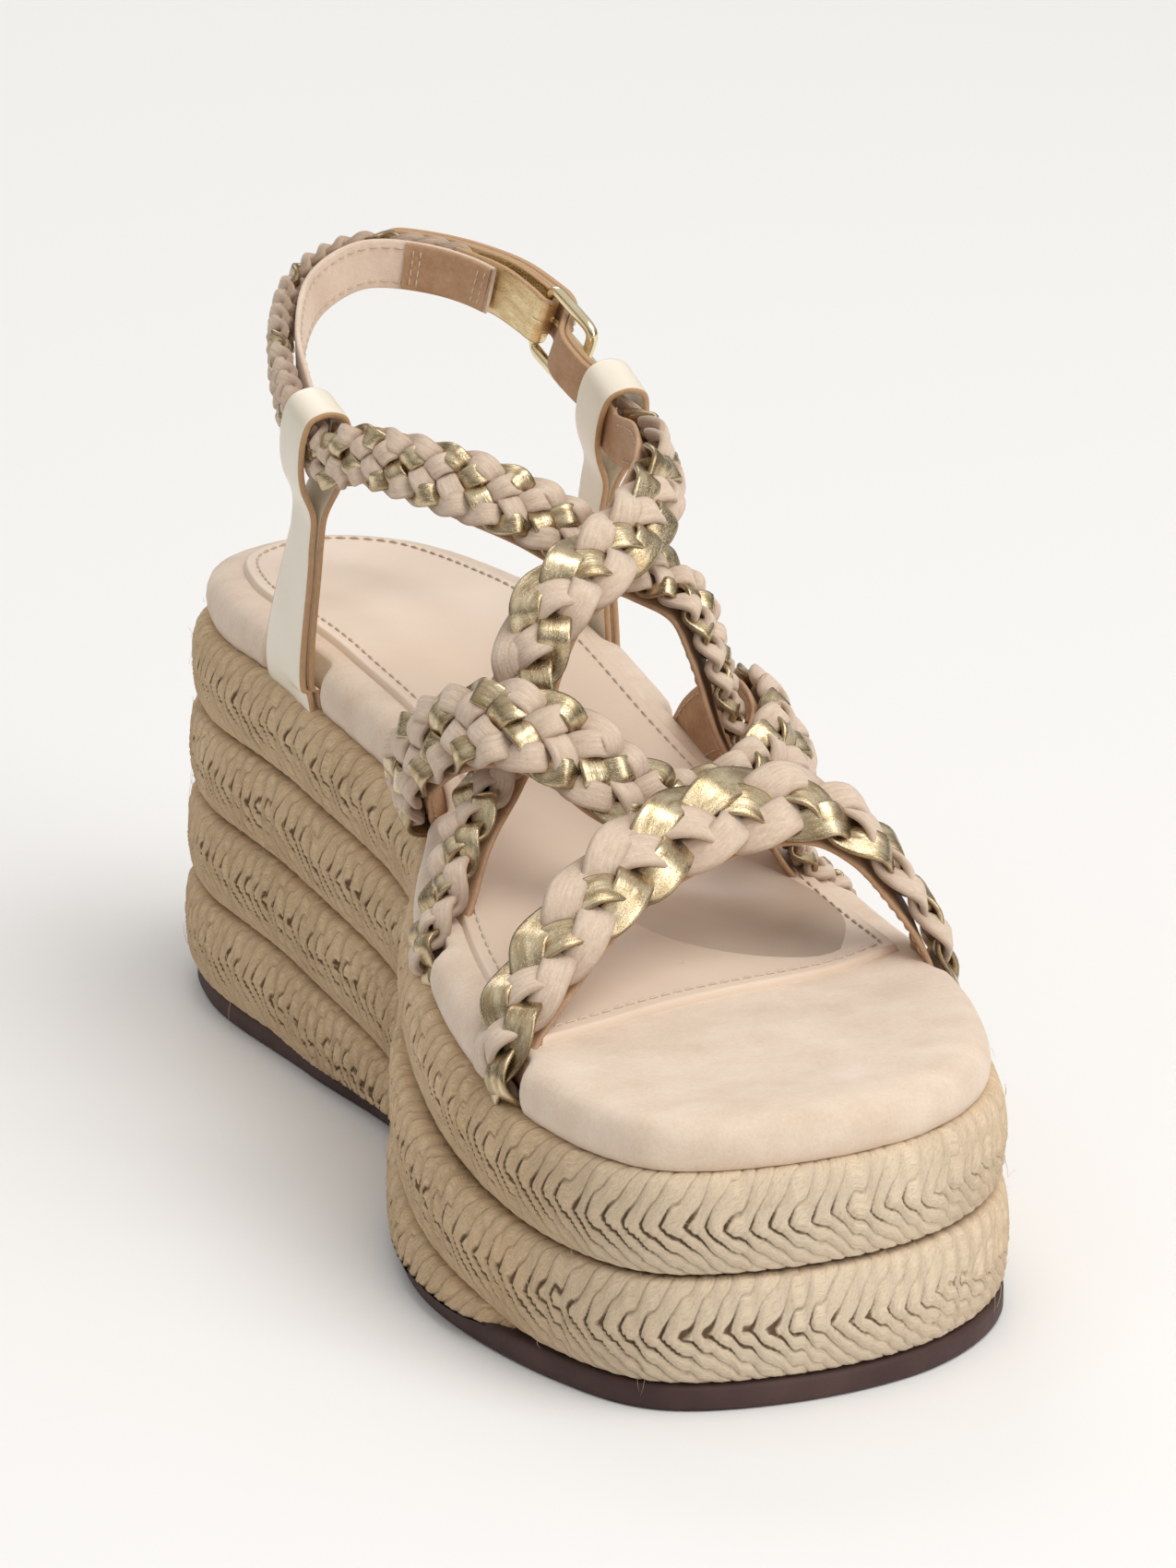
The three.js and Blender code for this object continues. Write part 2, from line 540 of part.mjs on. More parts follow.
// The braid of the heel strap, with a flat tongue that lies between the chape's legs.
function heelBraid() {
  const end = BAR_AT - CHAPE_LENGTH - 2 * CLEAR;
  const route = [];
  for (let d = SPLIT; d < end - RING_STEP / 2; d += RING_STEP) {
    route.push(onRing(d, 0, ANKLE_STRAP_HEIGHT));
  }
  route.push(onRing(end, 0, ANKLE_STRAP_HEIGHT));
  const tongue = [1, -TONGUE_LENGTH / 2, -TONGUE_LENGTH].map((back) =>
    onRing(end - back, 0, CHAPE_WIDTH - 1));
  const strap = ribbon(route, { thickness: BRAID_THICKNESS, steps: 48, section: ROUNDED });
  const flat = ribbon(tongue, { thickness: 2 * HINGE_BAR_RADIUS, steps: 6 });
  return toGeometry(toSolid(strap).add(toSolid(flat)));
}

function heelLining() {
  const route = [];
  const end = BAR_AT - 6;
  for (let d = SPLIT; d < end; d += RING_STEP) {
    route.push(onRing(d, 0, ANKLE_STRAP_HEIGHT * LINING_SHARE));
  }
  return ribbon(route, { thickness: LINING_THICKNESS, offset: LINING_OFFSET, steps: 48 });
}

// The billet leaves the lateral loop, dips under the front bar, comes up through the
// frame, crosses the hinge bar and lies along the outside of the chape.
const BILLET_STACK = BILLET_LEATHER + CLEAR + BILLET_LINING;
const billetUnder = -(BUCKLE_WIRE / 2 + 2 * CLEAR + BILLET_STACK / 2);
const billetOver = HINGE_BAR_RADIUS + 2 * CLEAR + CHAPE_LEATHER + BILLET_STACK / 2;
const billetOverBraid = Math.max(billetOver, BRAID_THICKNESS / 2 + CLEAR + BILLET_STACK / 2);
function billetRoute() {
  const row = (ahead, out) => onRing(BAR_AT + ahead, out, BILLET_WIDTH);
  const steps = [];
  for (let ahead = 11; ahead >= 1; ahead -= 2) {
    const climb = smoothstep((11 - ahead) / 10);
    steps.push(row(ahead, THREE.MathUtils.lerp(billetUnder, billetOver, climb)));
  }
  return [
    onRing(RING_LENGTH - SPLIT, -0.6, BILLET_WIDTH), row(24, -0.9), row(BUCKLE_LENGTH + 5, billetUnder + 0.6),
    row(BUCKLE_LENGTH + 1, billetUnder), ...steps,
    row(-2, billetOver), row(-10, billetOver), row(-20, billetOverBraid),
    row(-28, billetOverBraid + 0.6), row(-BILLET_TAIL, billetOverBraid + 1.6),
  ];
}
function billetLayer(thickness, offset) {
  const strip = toSolid(ribbon(billetRoute(), { thickness, offset, steps: 64 }));
  const slotStart = -4; // the prong swings outward through this stretch of the billet
  const slotEnd = 10;
  const through = 20;
  const slot = new THREE.BoxGeometry(slotEnd - slotStart, PRONG_SLOT_WIDTH, through)
    .translate((slotStart + slotEnd) / 2, 0, 0);
  return toGeometry(strip.subtract(toSolid(slot.applyMatrix4(buckleFrame))));
}

// ---------------------------------------------------------------- the sandal
const sandal = new THREE.Group();
function add(name, geometry, material) {
  const mesh = new THREE.Mesh(geometry, material);
  mesh.name = name;
  sandal.add(mesh);
}

// Outsole, with cross grooves over its tread.
const outsoleOutline = outline(-OUTSOLE_FLARE, BALL_BULGE);
let outsole = prism(outsoleOutline, 0, OUTSOLE_THICKNESS);
const treadEnd = SOLE_LENGTH / 2 - 14;
for (let y = -treadEnd; y < treadEnd; y += TREAD_PITCH) {
  const underWaist = y > -0.02 * SOLE_LENGTH && y < 0.2 * SOLE_LENGTH;
  if (underWaist) continue;
  const groove = new THREE.BoxGeometry(SOLE_WIDTH * 0.5, TREAD_WIDTH, 2 * TREAD_DEPTH);
  outsole = outsole.subtract(toSolid(groove.translate(0, y, 0)));
}
add('outsole', toGeometry(outsole), RUBBER);

// Pockets that the straps and tabs stand in, cut from every layer they pass.
const rooms = [
  ...[TOE_ROUTE, VAMP_ROUTE, INSTEP_A_ROUTE, INSTEP_B_ROUTE].map(strapRoom),
  tabRoom(MEDIAL_TAB_ROUTE), tabRoom(LATERAL_TAB_ROUTE),
].reduce((all, room) => all.add(room));

// Wedge core, with a recess for the shank in its top.
const SHANK_Y = 16 * gradeY;
const BOARD_DROP = 0.4; // the insole board's top lies this far below the jute's edge
const coreTop = -(BOARD_DROP + BOARD_THICKNESS + CLEAR);
const coreBottom = OUTSOLE_THICKNESS + CLEAR;
const shankShape = (grow) => {
  const half = SHANK_WIDTH / 2 + grow;
  return roundedRectangle(-SHANK_LENGTH / 2 - grow, SHANK_LENGTH / 2 + grow, half, half)
    .getPoints(5).map((p) => new THREE.Vector2(p.y, p.x + SHANK_Y)).reverse();
};
const core = prism(outline(JUTE_THICKNESS + CLEAR), coreBottom, TALL)
  .intersect(below((x, y) => topline(x, y) + coreTop))
  .subtract(layer(shankShape(CLEAR), coreTop - SHANK_THICKNESS - CLEAR, 1))
  .subtract(rooms);
add('wedge_core', toGeometry(core), CORE);
add('steel_shank', toGeometry(layer(shankShape(0), coreTop - SHANK_THICKNESS, coreTop)), STEEL);

// Jute rows, each a flat braid wrapped round the wedge, parallel to the topline.
const rowTop = (row) => (x, y) =>
  topline(x, y) - row * rowPitch(x, y) - (row > 0 ? CLEAR / 2 : 0);
for (let row = 0; row < JUTE_ROWS; row++) {
  const swell = row === 0 ? 0 : BALL_BULGE;
  const wall = prism(outline(-row * JUTE_ROW_FLARE, swell), coreBottom, TALL, outline(JUTE_THICKNESS));
  const bandTop = rowTop(row);
  const nextTop = rowTop(row + 1);
  let band = wall.intersect(below(bandTop));
  if (row < JUTE_ROWS - 1) band = band.subtract(below((x, y) => nextTop(x, y) + CLEAR));
  const highEnough = (x, y) => (bandTop(x, y) > coreBottom + JUTE_SHORTEST ? TALL : -1);
  if (row >= 2) band = band.intersect(below(highEnough));
  if (row === 0) band = band.subtract(rooms);
  add(`jute_row_${row + 1}`, toGeometry(band), JUTE);
}

// Footbed: board, foam and the suede that wraps it.
const boardOutline = outline(JUTE_THICKNESS + CLEAR);
add('insole_board', toGeometry(
  layer(boardOutline, -BOARD_DROP - BOARD_THICKNESS, -BOARD_DROP).subtract(rooms)), BOARD);
const skinTop = FOOTBED_HEIGHT - FOOTBED_SKIN;
const shoulderInset = FOOTBED_INSET + FOOTBED_ROUNDING;
const cover = layer(outline(FOOTBED_INSET), CLEAR, FOOTBED_SHOULDER)
  .add(layer(outline(shoulderInset), CLEAR, FOOTBED_HEIGHT))
  .subtract(layer(outline(shoulderInset + FOOTBED_SKIN), CLEAR - 1, skinTop))
  .subtract(rooms);
add('footbed_cover', toGeometry(cover), SUEDE);
const foam = layer(outline(shoulderInset + FOOTBED_SKIN + CLEAR), CLEAR, skinTop - CLEAR)
  .subtract(rooms);
add('footbed_foam', toGeometry(foam), FOAM);

// Sock lining, cut off behind the toes along a slanting edge.
const frontCut = prism([
  [-SOLE_WIDTH, -SOLE_LENGTH], [SOLE_WIDTH, -SOLE_LENGTH],
  [SOLE_WIDTH, SOCK_FRONT * gradeY + SOCK_FRONT_SLANT * SOLE_WIDTH],
  [-SOLE_WIDTH, SOCK_FRONT * gradeY - SOCK_FRONT_SLANT * SOLE_WIDTH],
].map(([x, y]) => new THREE.Vector2(x, y)), 0, TALL);
const sock = layer(outline(FOOTBED_INSET + SOCK_MARGIN), FOOTBED_HEIGHT + CLEAR,
  FOOTBED_HEIGHT + CLEAR + SOCK_THICKNESS).subtract(frontCut).subtract(rooms);
add('sock_lining', toGeometry(sock), SMOOTH_LEATHER);

// Straps over the foot.
for (const [name, route] of [
  ['toe_strap', TOE_ROUTE], ['vamp_strap', VAMP_ROUTE],
  ['instep_strap_a', INSTEP_A_ROUTE], ['instep_strap_b', INSTEP_B_ROUTE],
]) {
  add(`${name}_braid`, braid(route), BRAID);
  add(`${name}_lining`, lining(route), BACKING);
}

// Ankle: tabs, heel strap, buckle and billet.
add('ankle_tab_medial', tab(MEDIAL_TAB_ROUTE), CREAM_LEATHER);
add('ankle_tab_lateral', tab(LATERAL_TAB_ROUTE), CREAM_LEATHER);
add('heel_strap_braid', heelBraid(), BRAID);
add('heel_strap_lining', heelLining(), BACKING);
add('buckle_chape', chape(), GOLD_LEATHER);
add('buckle_frame', buckle(), GOLD);
add('buckle_prong', prong(), GOLD);
const billetOffset = (BILLET_LINING + CLEAR) / 2;
add('billet_strap', billetLayer(BILLET_LEATHER, billetOffset), SUEDE);
add('billet_lining', billetLayer(BILLET_LINING, -(BILLET_LEATHER + CLEAR) / 2), BACKING);

export default sandal;
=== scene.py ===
"""A wedge sandal for the left foot: a platform wedge wrapped in braided jute, a padded suede
footbed with a stitched leather sock lining, plaited suede and gold straps that cross over
the foot, and a buckled strap round the heel.

Lengths are in millimetres until a mesh is made. The toe points to -Y, the big-toe side is -X.
"""
import bpy
import numpy as np
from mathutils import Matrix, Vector


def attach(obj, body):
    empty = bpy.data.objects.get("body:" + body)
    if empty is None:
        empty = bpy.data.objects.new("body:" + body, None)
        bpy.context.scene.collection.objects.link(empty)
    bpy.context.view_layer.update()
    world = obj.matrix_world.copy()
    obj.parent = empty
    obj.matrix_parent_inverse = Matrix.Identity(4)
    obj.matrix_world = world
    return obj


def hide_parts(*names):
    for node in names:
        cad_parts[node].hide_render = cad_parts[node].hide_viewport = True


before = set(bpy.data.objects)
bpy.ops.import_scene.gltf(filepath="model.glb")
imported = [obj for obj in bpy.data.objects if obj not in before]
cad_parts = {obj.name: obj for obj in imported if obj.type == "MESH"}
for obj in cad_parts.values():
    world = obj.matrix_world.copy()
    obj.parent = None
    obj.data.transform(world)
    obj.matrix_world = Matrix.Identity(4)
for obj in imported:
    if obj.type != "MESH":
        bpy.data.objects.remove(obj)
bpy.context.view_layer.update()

# ---------------------------------------------------------------- camera, floor and light
# The sandal stands on a pale seamless floor and is seen from in front of the toes, turned a
# little to its big-toe side. A big soft light hangs at the front right, a low one fills from
# the same side, and a third lights it from behind.
CAMERA_PLACE = Vector((-0.4985, -1.1412, 0.4798))
CAMERA_AIM = Vector((0.004, -0.004, 0.069))
FOCAL_LENGTH = 168
PALE = (0.905, 0.898, 0.885)


def aim(thing, place, target):
    """Puts a camera or light at a place, looking at the target."""
    thing.location = place
    thing.rotation_euler = (Vector(target) - Vector(place)).to_track_quat("-Z", "Y").to_euler()
    bpy.context.scene.collection.objects.link(thing)


def soft_light(name, place, size, power, colour):
    """A square light of the given size in metres, aimed at the sandal."""
    data = bpy.data.lights.new(name, "AREA")
    data.size = size
    data.energy = power
    data.color = colour
    aim(bpy.data.objects.new(name, data), place, (0, 0, 0.06))


lens = bpy.data.cameras.new("camera")
lens.lens = FOCAL_LENGTH
lens.clip_end = 60
camera = bpy.data.objects.new("camera", lens)
aim(camera, CAMERA_PLACE, CAMERA_AIM)
bpy.context.scene.camera = camera

soft_light("key", (0.5, -0.75, 1.95), 1.4, 20, (1, 0.98, 0.955))
soft_light("fill", (0.85, -1.9, 0.85), 1.2, 11, (1, 0.98, 0.955))
soft_light("back", (0.3, 1.7, 1.4), 1.0, 6, (1, 0.985, 0.96))


def studio_world():
    """A pale room, brightest overhead and dim toward the horizon, which gives the gold
    something dark to reflect."""
    world = bpy.data.worlds.new("studio")
    world.use_nodes = True
    nodes, links = world.node_tree.nodes, world.node_tree.links
    direction = nodes.new("ShaderNodeTexCoord")
    parts = nodes.new("ShaderNodeSeparateXYZ")
    ramp = nodes.new("ShaderNodeValToRGB")
    links.new(direction.outputs["Generated"], parts.inputs[0])
    links.new(parts.outputs["Z"], ramp.inputs["Fac"])
    links.new(ramp.outputs["Color"], nodes["Background"].inputs["Color"])
    ramp.color_ramp.elements[0].position = 0.12
    ramp.color_ramp.elements[0].color = (0.2, 0.195, 0.19, 1)
    ramp.color_ramp.elements[1].position = 0.6
    ramp.color_ramp.elements[1].color = (1.0, 0.995, 0.99, 1)
    nodes["Background"].inputs["Strength"].default_value = 0.66
    return world


bpy.context.scene.world = studio_world()
bpy.context.scene.view_settings.view_transform = "Standard"


class Wire:
    """A socket in a material, on which ordinary arithmetic adds Math nodes."""

    def __init__(self, paint, socket):
        self.paint = paint
        self.socket = socket

    def maths(self, operation, *others, clamp=False):
        inputs = dict(enumerate((self, *others)))
        return self.paint.node("Math", inputs, operation=operation, use_clamp=clamp)

    def __add__(self, other):
        return self.maths("ADD", other)

    __radd__ = __add__

    def __sub__(self, other):
        return self.maths("SUBTRACT", other)

    def __rsub__(self, other):
        return self.paint.node("Math", {0: other, 1: self}, operation="SUBTRACT")

    def __mul__(self, other):
        return self.maths("MULTIPLY", other)

    __rmul__ = __mul__

    def __truediv__(self, other):
        return self.maths("DIVIDE", other)

    def ramp(self, low, high):
        """0 below low, 1 above high, and an even climb between them."""
        return ((self - low) / (high - low)).maths("ADD", 0.0, clamp=True)


class Paint:
    """A material and the one method that adds nodes to it."""

    def __init__(self, name, **constants):
        self.material = bpy.data.materials.new(name)
        self.material.use_nodes = True
        self.tree = self.material.node_tree
        self.shader = self.tree.nodes["Principled BSDF"]
        for socket, value in constants.items():
            self.put(self.shader.inputs[socket.replace("_", " ")], value)

    def put(self, socket, value):
        """A link from a wire, or a constant on the socket itself."""
        if isinstance(value, Wire):
            self.tree.links.new(value.socket, socket)
        elif isinstance(value, tuple) and socket.type == "RGBA":
            socket.default_value = (*value, 1)
        else:
            socket.default_value = value

    def node(self, kind, inputs=None, output=0, **settings):
        """Adds a node, applies its settings, fills its sockets and returns one output."""
        made = self.tree.nodes.new("ShaderNode" + kind)
        for setting, value in settings.items():
            setattr(made, setting, value)
        for name, value in (inputs or {}).items():
            self.put(made.inputs[name], value)
        return Wire(self, made.outputs[output])

    def noise(self, vector, scale, detail=3.0, roughness=0.55):
        """Cloudy noise between 0 and 1; the scale counts its waves per metre or per map unit."""
        return self.node("TexNoise", {"Vector": vector, "Scale": scale, "Detail": detail,
                                      "Roughness": roughness})

    def mix(self, share, first, second):
        """Two colours mixed, as A and B of the colour Mix node."""
        return self.node("Mix", {0: share, 6: first, 7: second}, output=2, data_type="RGBA")

    def stretch(self, vector, scale):
        """The vector with each part multiplied."""
        return self.node("VectorMath", {0: vector, 1: scale}, operation="MULTIPLY")

    def place(self):
        """The place on the piece, in metres."""
        return self.node("TexCoord", output="Object")

    def along(self):
        """The piece's own map, in millimetres: x along it and y across it."""
        return self.node("TexCoord", output="UV")

    def shade(self):
        """The mesh's painted shade: 0 on open crests, toward 1 in slits and where strands dip."""
        return self.node("Attribute", attribute_name="shade", output=2)

    def bump(self, height, strength, distance):
        """A bump of the given depth in millimetres."""
        return self.node("Bump", {"Height": height, "Strength": strength,
                                  "Distance": distance * 0.001})

    def set(self, **sockets):
        """Fills the shader's sockets and gives the finished material."""
        for name, value in sockets.items():
            self.put(self.shader.inputs[name.replace("_", " ")], value)
        return self.material


floor_paint = Paint("pale_floor", Base_Color=PALE, Roughness=0.75)
bpy.ops.mesh.primitive_plane_add(size=30)
floor = bpy.context.object
floor.name = "floor"
floor.data.materials.append(floor_paint.material)

# ---------------------------------------------------------------- outsole
# A thin sheet of dark rubber, cut a little larger than the wedge and cemented under it, with
# cross grooves under the tread. Everything above it follows the same outline.
SOLE_LENGTH = 254
SOLE_WIDTH = 98.5
TOE_HEIGHT = 41.5
HEEL_HEIGHT = 73.5
OUTSOLE_FLARE = 0.6
TREAD_PITCH = 6
HALF_GROOVE = 0.14  # half the width of a groove, as a share of the pitch
GROOVE_DEPTH = 0.9
BALL_BULGE = 2.6
CORNERS = [(-1, 127.3), (-23, 117.5), (-31.5, 94), (-29, 50), (-26.3, 6),
           (-43, -30), (-49.5, -68), (-45, -103), (-35, -120.5),
           (-13, -127), (14, -123.5), (33, -110), (42, -92), (49, -55),
           (46.5, -15), (39.5, 25), (34, 70), (21, 115)]


def smoothstep(t):
    """0 below 0, 1 above 1, and a soft climb between them."""
    u = np.clip(t, 0, 1)
    return u * u * (3 - 2 * u)


def curve_through(points, t, closed=False):
    """Places on a smooth curve through the points, t running from 0 to 1. Each stretch is a
    cubic whose end slopes weigh the neighbouring stretches by the square root of length."""
    points = np.asarray(points, float)
    n = len(points)
    spans = n if closed else n - 1
    s = np.asarray(t, float) * spans
    i = np.minimum(np.floor(s).astype(int), spans - (0 if closed else 1))
    w = (s - i)[:, None]
    if closed:
        ring = [points[(i + k) % n] for k in (-1, 0, 1, 2)]
    else:
        padded = np.vstack([2 * points[0] - points[1], points, 2 * points[-1] - points[-2]])
        ring = [padded[i + k] for k in (0, 1, 2, 3)]
    p0, p1, p2, p3 = ring
    root = [np.sqrt(np.linalg.norm(b - a, axis=1))[:, None] for a, b in zip(ring, ring[1:])]
    middle = np.where(root[1] < 1e-4, 1, root[1])
    before = np.where(root[0] < 1e-4, middle, root[0])
    after = np.where(root[2] < 1e-4, middle, root[2])
    slope1 = middle * ((p1 - p0) / before - (p2 - p0) / (before + middle) + (p2 - p1) / middle)
    slope2 = middle * ((p2 - p1) / middle - (p3 - p1) / (middle + after) + (p3 - p2) / after)
    return (p1 + slope1 * w + (3 * (p2 - p1) - 2 * slope1 - slope2) * w ** 2
            + (2 * (p1 - p2) + slope1 + slope2) * w ** 3)


def distance_run(places):
    """The distance run at each place of a line, from its first place."""
    return np.concatenate([[0], np.cumsum(np.linalg.norm(np.diff(places, axis=0), axis=1))])


def even_steps(points, count, closed=False):
    """The t values of count places an equal distance apart along the curve, and its length."""
    fine = np.linspace(0, 1, 4001)
    places = curve_through(points, np.minimum(fine, 1 - 1e-9), closed)
    run = distance_run(places)
    wanted = np.linspace(0, run[-1], count, endpoint=not closed)
    return np.minimum(np.interp(wanted, run, fine), 1 - 1e-9), run[-1]


def outline(count):
    """Plan of the jute's top edge: count places, their outward directions (the curve's own
    direction turned a quarter turn) and the edge's length."""
    t, length = even_steps(CORNERS, count, closed=True)
    places = curve_through(CORNERS, t, closed=True)
    step = np.roll(places, -1, axis=0) - np.roll(places, 1, axis=0)
    step /= np.linalg.norm(step, axis=1)[:, None]
    return places, np.stack([step[:, 1], -step[:, 0]], axis=1), length


def topline(x, y):
    """Height of the jute's top edge: a smooth climb to the heel, sooner on the medial side."""
    medial = smoothstep((y + 115) / 198)
    lateral = smoothstep((y + 50) / 128)
    across = smoothstep((x / SOLE_WIDTH + 0.3) / 0.6)
    return TOE_HEIGHT + (HEEL_HEIGHT - TOE_HEIGHT) * (medial + (lateral - medial) * across)


def beside_ball(places):
    """1 beside the big-toe joint, fading to 0 along the sole and on the other side."""
    return smoothstep(1 - np.abs(places[:, 1] + 58) / 50) * (places[:, 0] < 0)


def make_mesh(name, points, faces, uv=None, finishes=None, shade=None, rims=()):
    """A smooth mesh from points in millimetres, with quads and the many-sided faces that
    close its rims. uv and shade are given for each point."""
    mesh = bpy.data.meshes.new(name)
    all_faces = np.asarray(faces).tolist() + [list(rim) for rim in rims]
    mesh.from_pydata((np.asarray(points) * 0.001).tolist(), [], all_faces)
    corner = np.zeros(len(mesh.loops), np.int32)
    mesh.loops.foreach_get("vertex_index", corner)
    if uv is not None:
        layer = mesh.uv_layers.new(name="UVMap")
        layer.data.foreach_set("uv", np.asarray(uv, np.float32)[corner].ravel())
    if finishes is not None:
        mesh.polygons.foreach_set("material_index", np.asarray(finishes, np.int32))
    if shade is not None:
        colour = mesh.color_attributes.new("shade", "FLOAT_COLOR", "POINT")
        grey = np.repeat(np.asarray(shade, np.float32)[:, None], 4, axis=1)
        colour.data.foreach_set("color", grey.ravel())
    mesh.polygons.foreach_set("use_smooth", np.ones(len(mesh.polygons), bool))
    mesh.validate()
    piece = bpy.data.objects.new(name, mesh)
    bpy.context.scene.collection.objects.link(piece)
    return piece


def grid_faces(rows, columns, close_rows=False, close_columns=False, start=0):
    """Quads over a grid of points stored row by row, facing the side from which the rows run
    right as the columns run up."""
    r = np.arange(rows if close_rows else rows - 1)[:, None]
    c = np.arange(columns if close_columns else columns - 1)[None, :]
    r2, c2 = (r + 1) % rows, (c + 1) % columns
    quads = np.stack(np.broadcast_arrays(
        r * columns + c, r2 * columns + c, r2 * columns + c2, r * columns + c2), axis=-1)
    return quads.reshape(-1, 4) + start


def flat_rims(rows, columns):
    """The faces that close the first and last columns of a grid whose rows are closed."""
    first = np.arange(rows) * columns
    return first[::-1], first + columns - 1


def finish_piece(piece, body, slot, paints, *nodes):
    """Gives a piece its materials, ties it to the body it moves with, and hides the parts it
    stands for. slot is not used.
    """
    for material in paints:
        piece.data.materials.append(material)
    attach(piece, body)
    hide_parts(*nodes)


def sole_surface(count, insets, heights, swell):
    """A surface carried round the outline. Each column of insets (inward) and of heights gives
    one place of the profile. Both have one row, or count rows."""
    places, outward, _ = outline(count)
    swell = swell * beside_ball(places)
    reach = swell[:, None] - np.broadcast_to(insets, (count, np.shape(insets)[-1]))
    x = places[:, :1] + outward[:, :1] * reach
    y = places[:, 1:] + outward[:, 1:] * reach
    z = np.broadcast_to(heights, x.shape)
    return np.stack([x, y, z], axis=-1)


def rubber_paint():
    """Dark maroon-brown rubber, matt and slightly scuffed."""
    paint = Paint("outsole_rubber", Specular_IOR_Level=0.35)
    place = paint.place()
    grain = paint.noise(place, 900, 4)
    cloud = paint.noise(place, 45, 3)
    colour = paint.mix(cloud.ramp(0.35, 0.7), (0.052, 0.026, 0.024), (0.092, 0.05, 0.043))
    return paint.set(Base_Color=colour, Roughness=0.5 + 0.25 * grain,
                     Normal=paint.bump(grain, 0.35, 0.12))


def outsole():
    """A closed slab: its profile runs from the tread out round the edge to the top."""
    count = 420
    insets = np.array([8, 5, 1.2, 0.3, 0, 0, 0.25, 1.1, 5, 8]) - OUTSOLE_FLARE
    heights = np.array([0, 0, 0, 0.25, 0.9, 3.6, 4.25, 4.5, 4.5, 4.5])
    surface = sole_surface(count, insets[None, :], heights[None, :], BALL_BULGE)
    grooved = np.abs((surface[:, 0, 1] / TREAD_PITCH) % 1 - 0.5) < HALF_GROOVE
    surface[:, 1:3, 2] += np.where(grooved, GROOVE_DEPTH, 0)[:, None]
    faces = grid_faces(count, len(insets), close_rows=True)
    return make_mesh("outsole_rubber", surface.reshape(-1, 3), faces,
                     rims=flat_rims(count, len(insets)))


finish_piece(outsole(), "sandal", "rubber_outsole", [rubber_paint()], "outsole")

# ---------------------------------------------------------------- jute rows
# Four flat braids of jute yarn, glued round the wedge one under the other, parallel to its
# top edge. Each is a herringbone of slanting strands that meet along the middle of the band,
# where slits open between them; the slits carry painted shade. Loose hairs stand off the yarn.
JUTE_THICKNESS = 5.5
JUTE_ROWS = 4
JUTE_ROW_FLARE = 0.7
TOE_PITCH = 18.2
HEEL_PITCH = 17.1
STRAND_PITCH = 3.6
JUTE_PLACES = 2080
JUTE_COLUMNS = 44
TOP_ROUNDING = 0.42  # power of the cosine that rounds the first row's upper edge
ROW_ROUNDING = 0.24  # the same for every other edge, which is squarer
LEAN_ABOVE, LEAN_BELOW = 0.6, 1.25  # how far strands slant above and below the middle
SEAM_WAVER = 0.03  # how far the middle line strays, as a share of the row's height
STRAND_JITTER = 0.16
YARN_RELIEF = 0.1
SOLE_OVERLAP = 0.4  # how far the lowest row reaches below the outsole's top
OUTSOLE_TOP = 4.5
HAIRS = 1500
LOWEST_HAIR = 0.2
SLIT_SHADE = (0.13, 0.068, 0.028)


def ripple(waves, seed, count):
    """An even wobble between -1 and 1 round the closed outline: a few sine waves whose
    numbers of turns and starts are drawn at random."""
    draw = np.random.default_rng(seed)
    turn = np.linspace(0, 2 * np.pi, count, endpoint=False)
    parts = [np.sin(k * turn + draw.uniform(0, 2 * np.pi)) for k in draw.integers(*waves, 6)]
    return sum(parts) / 2.5


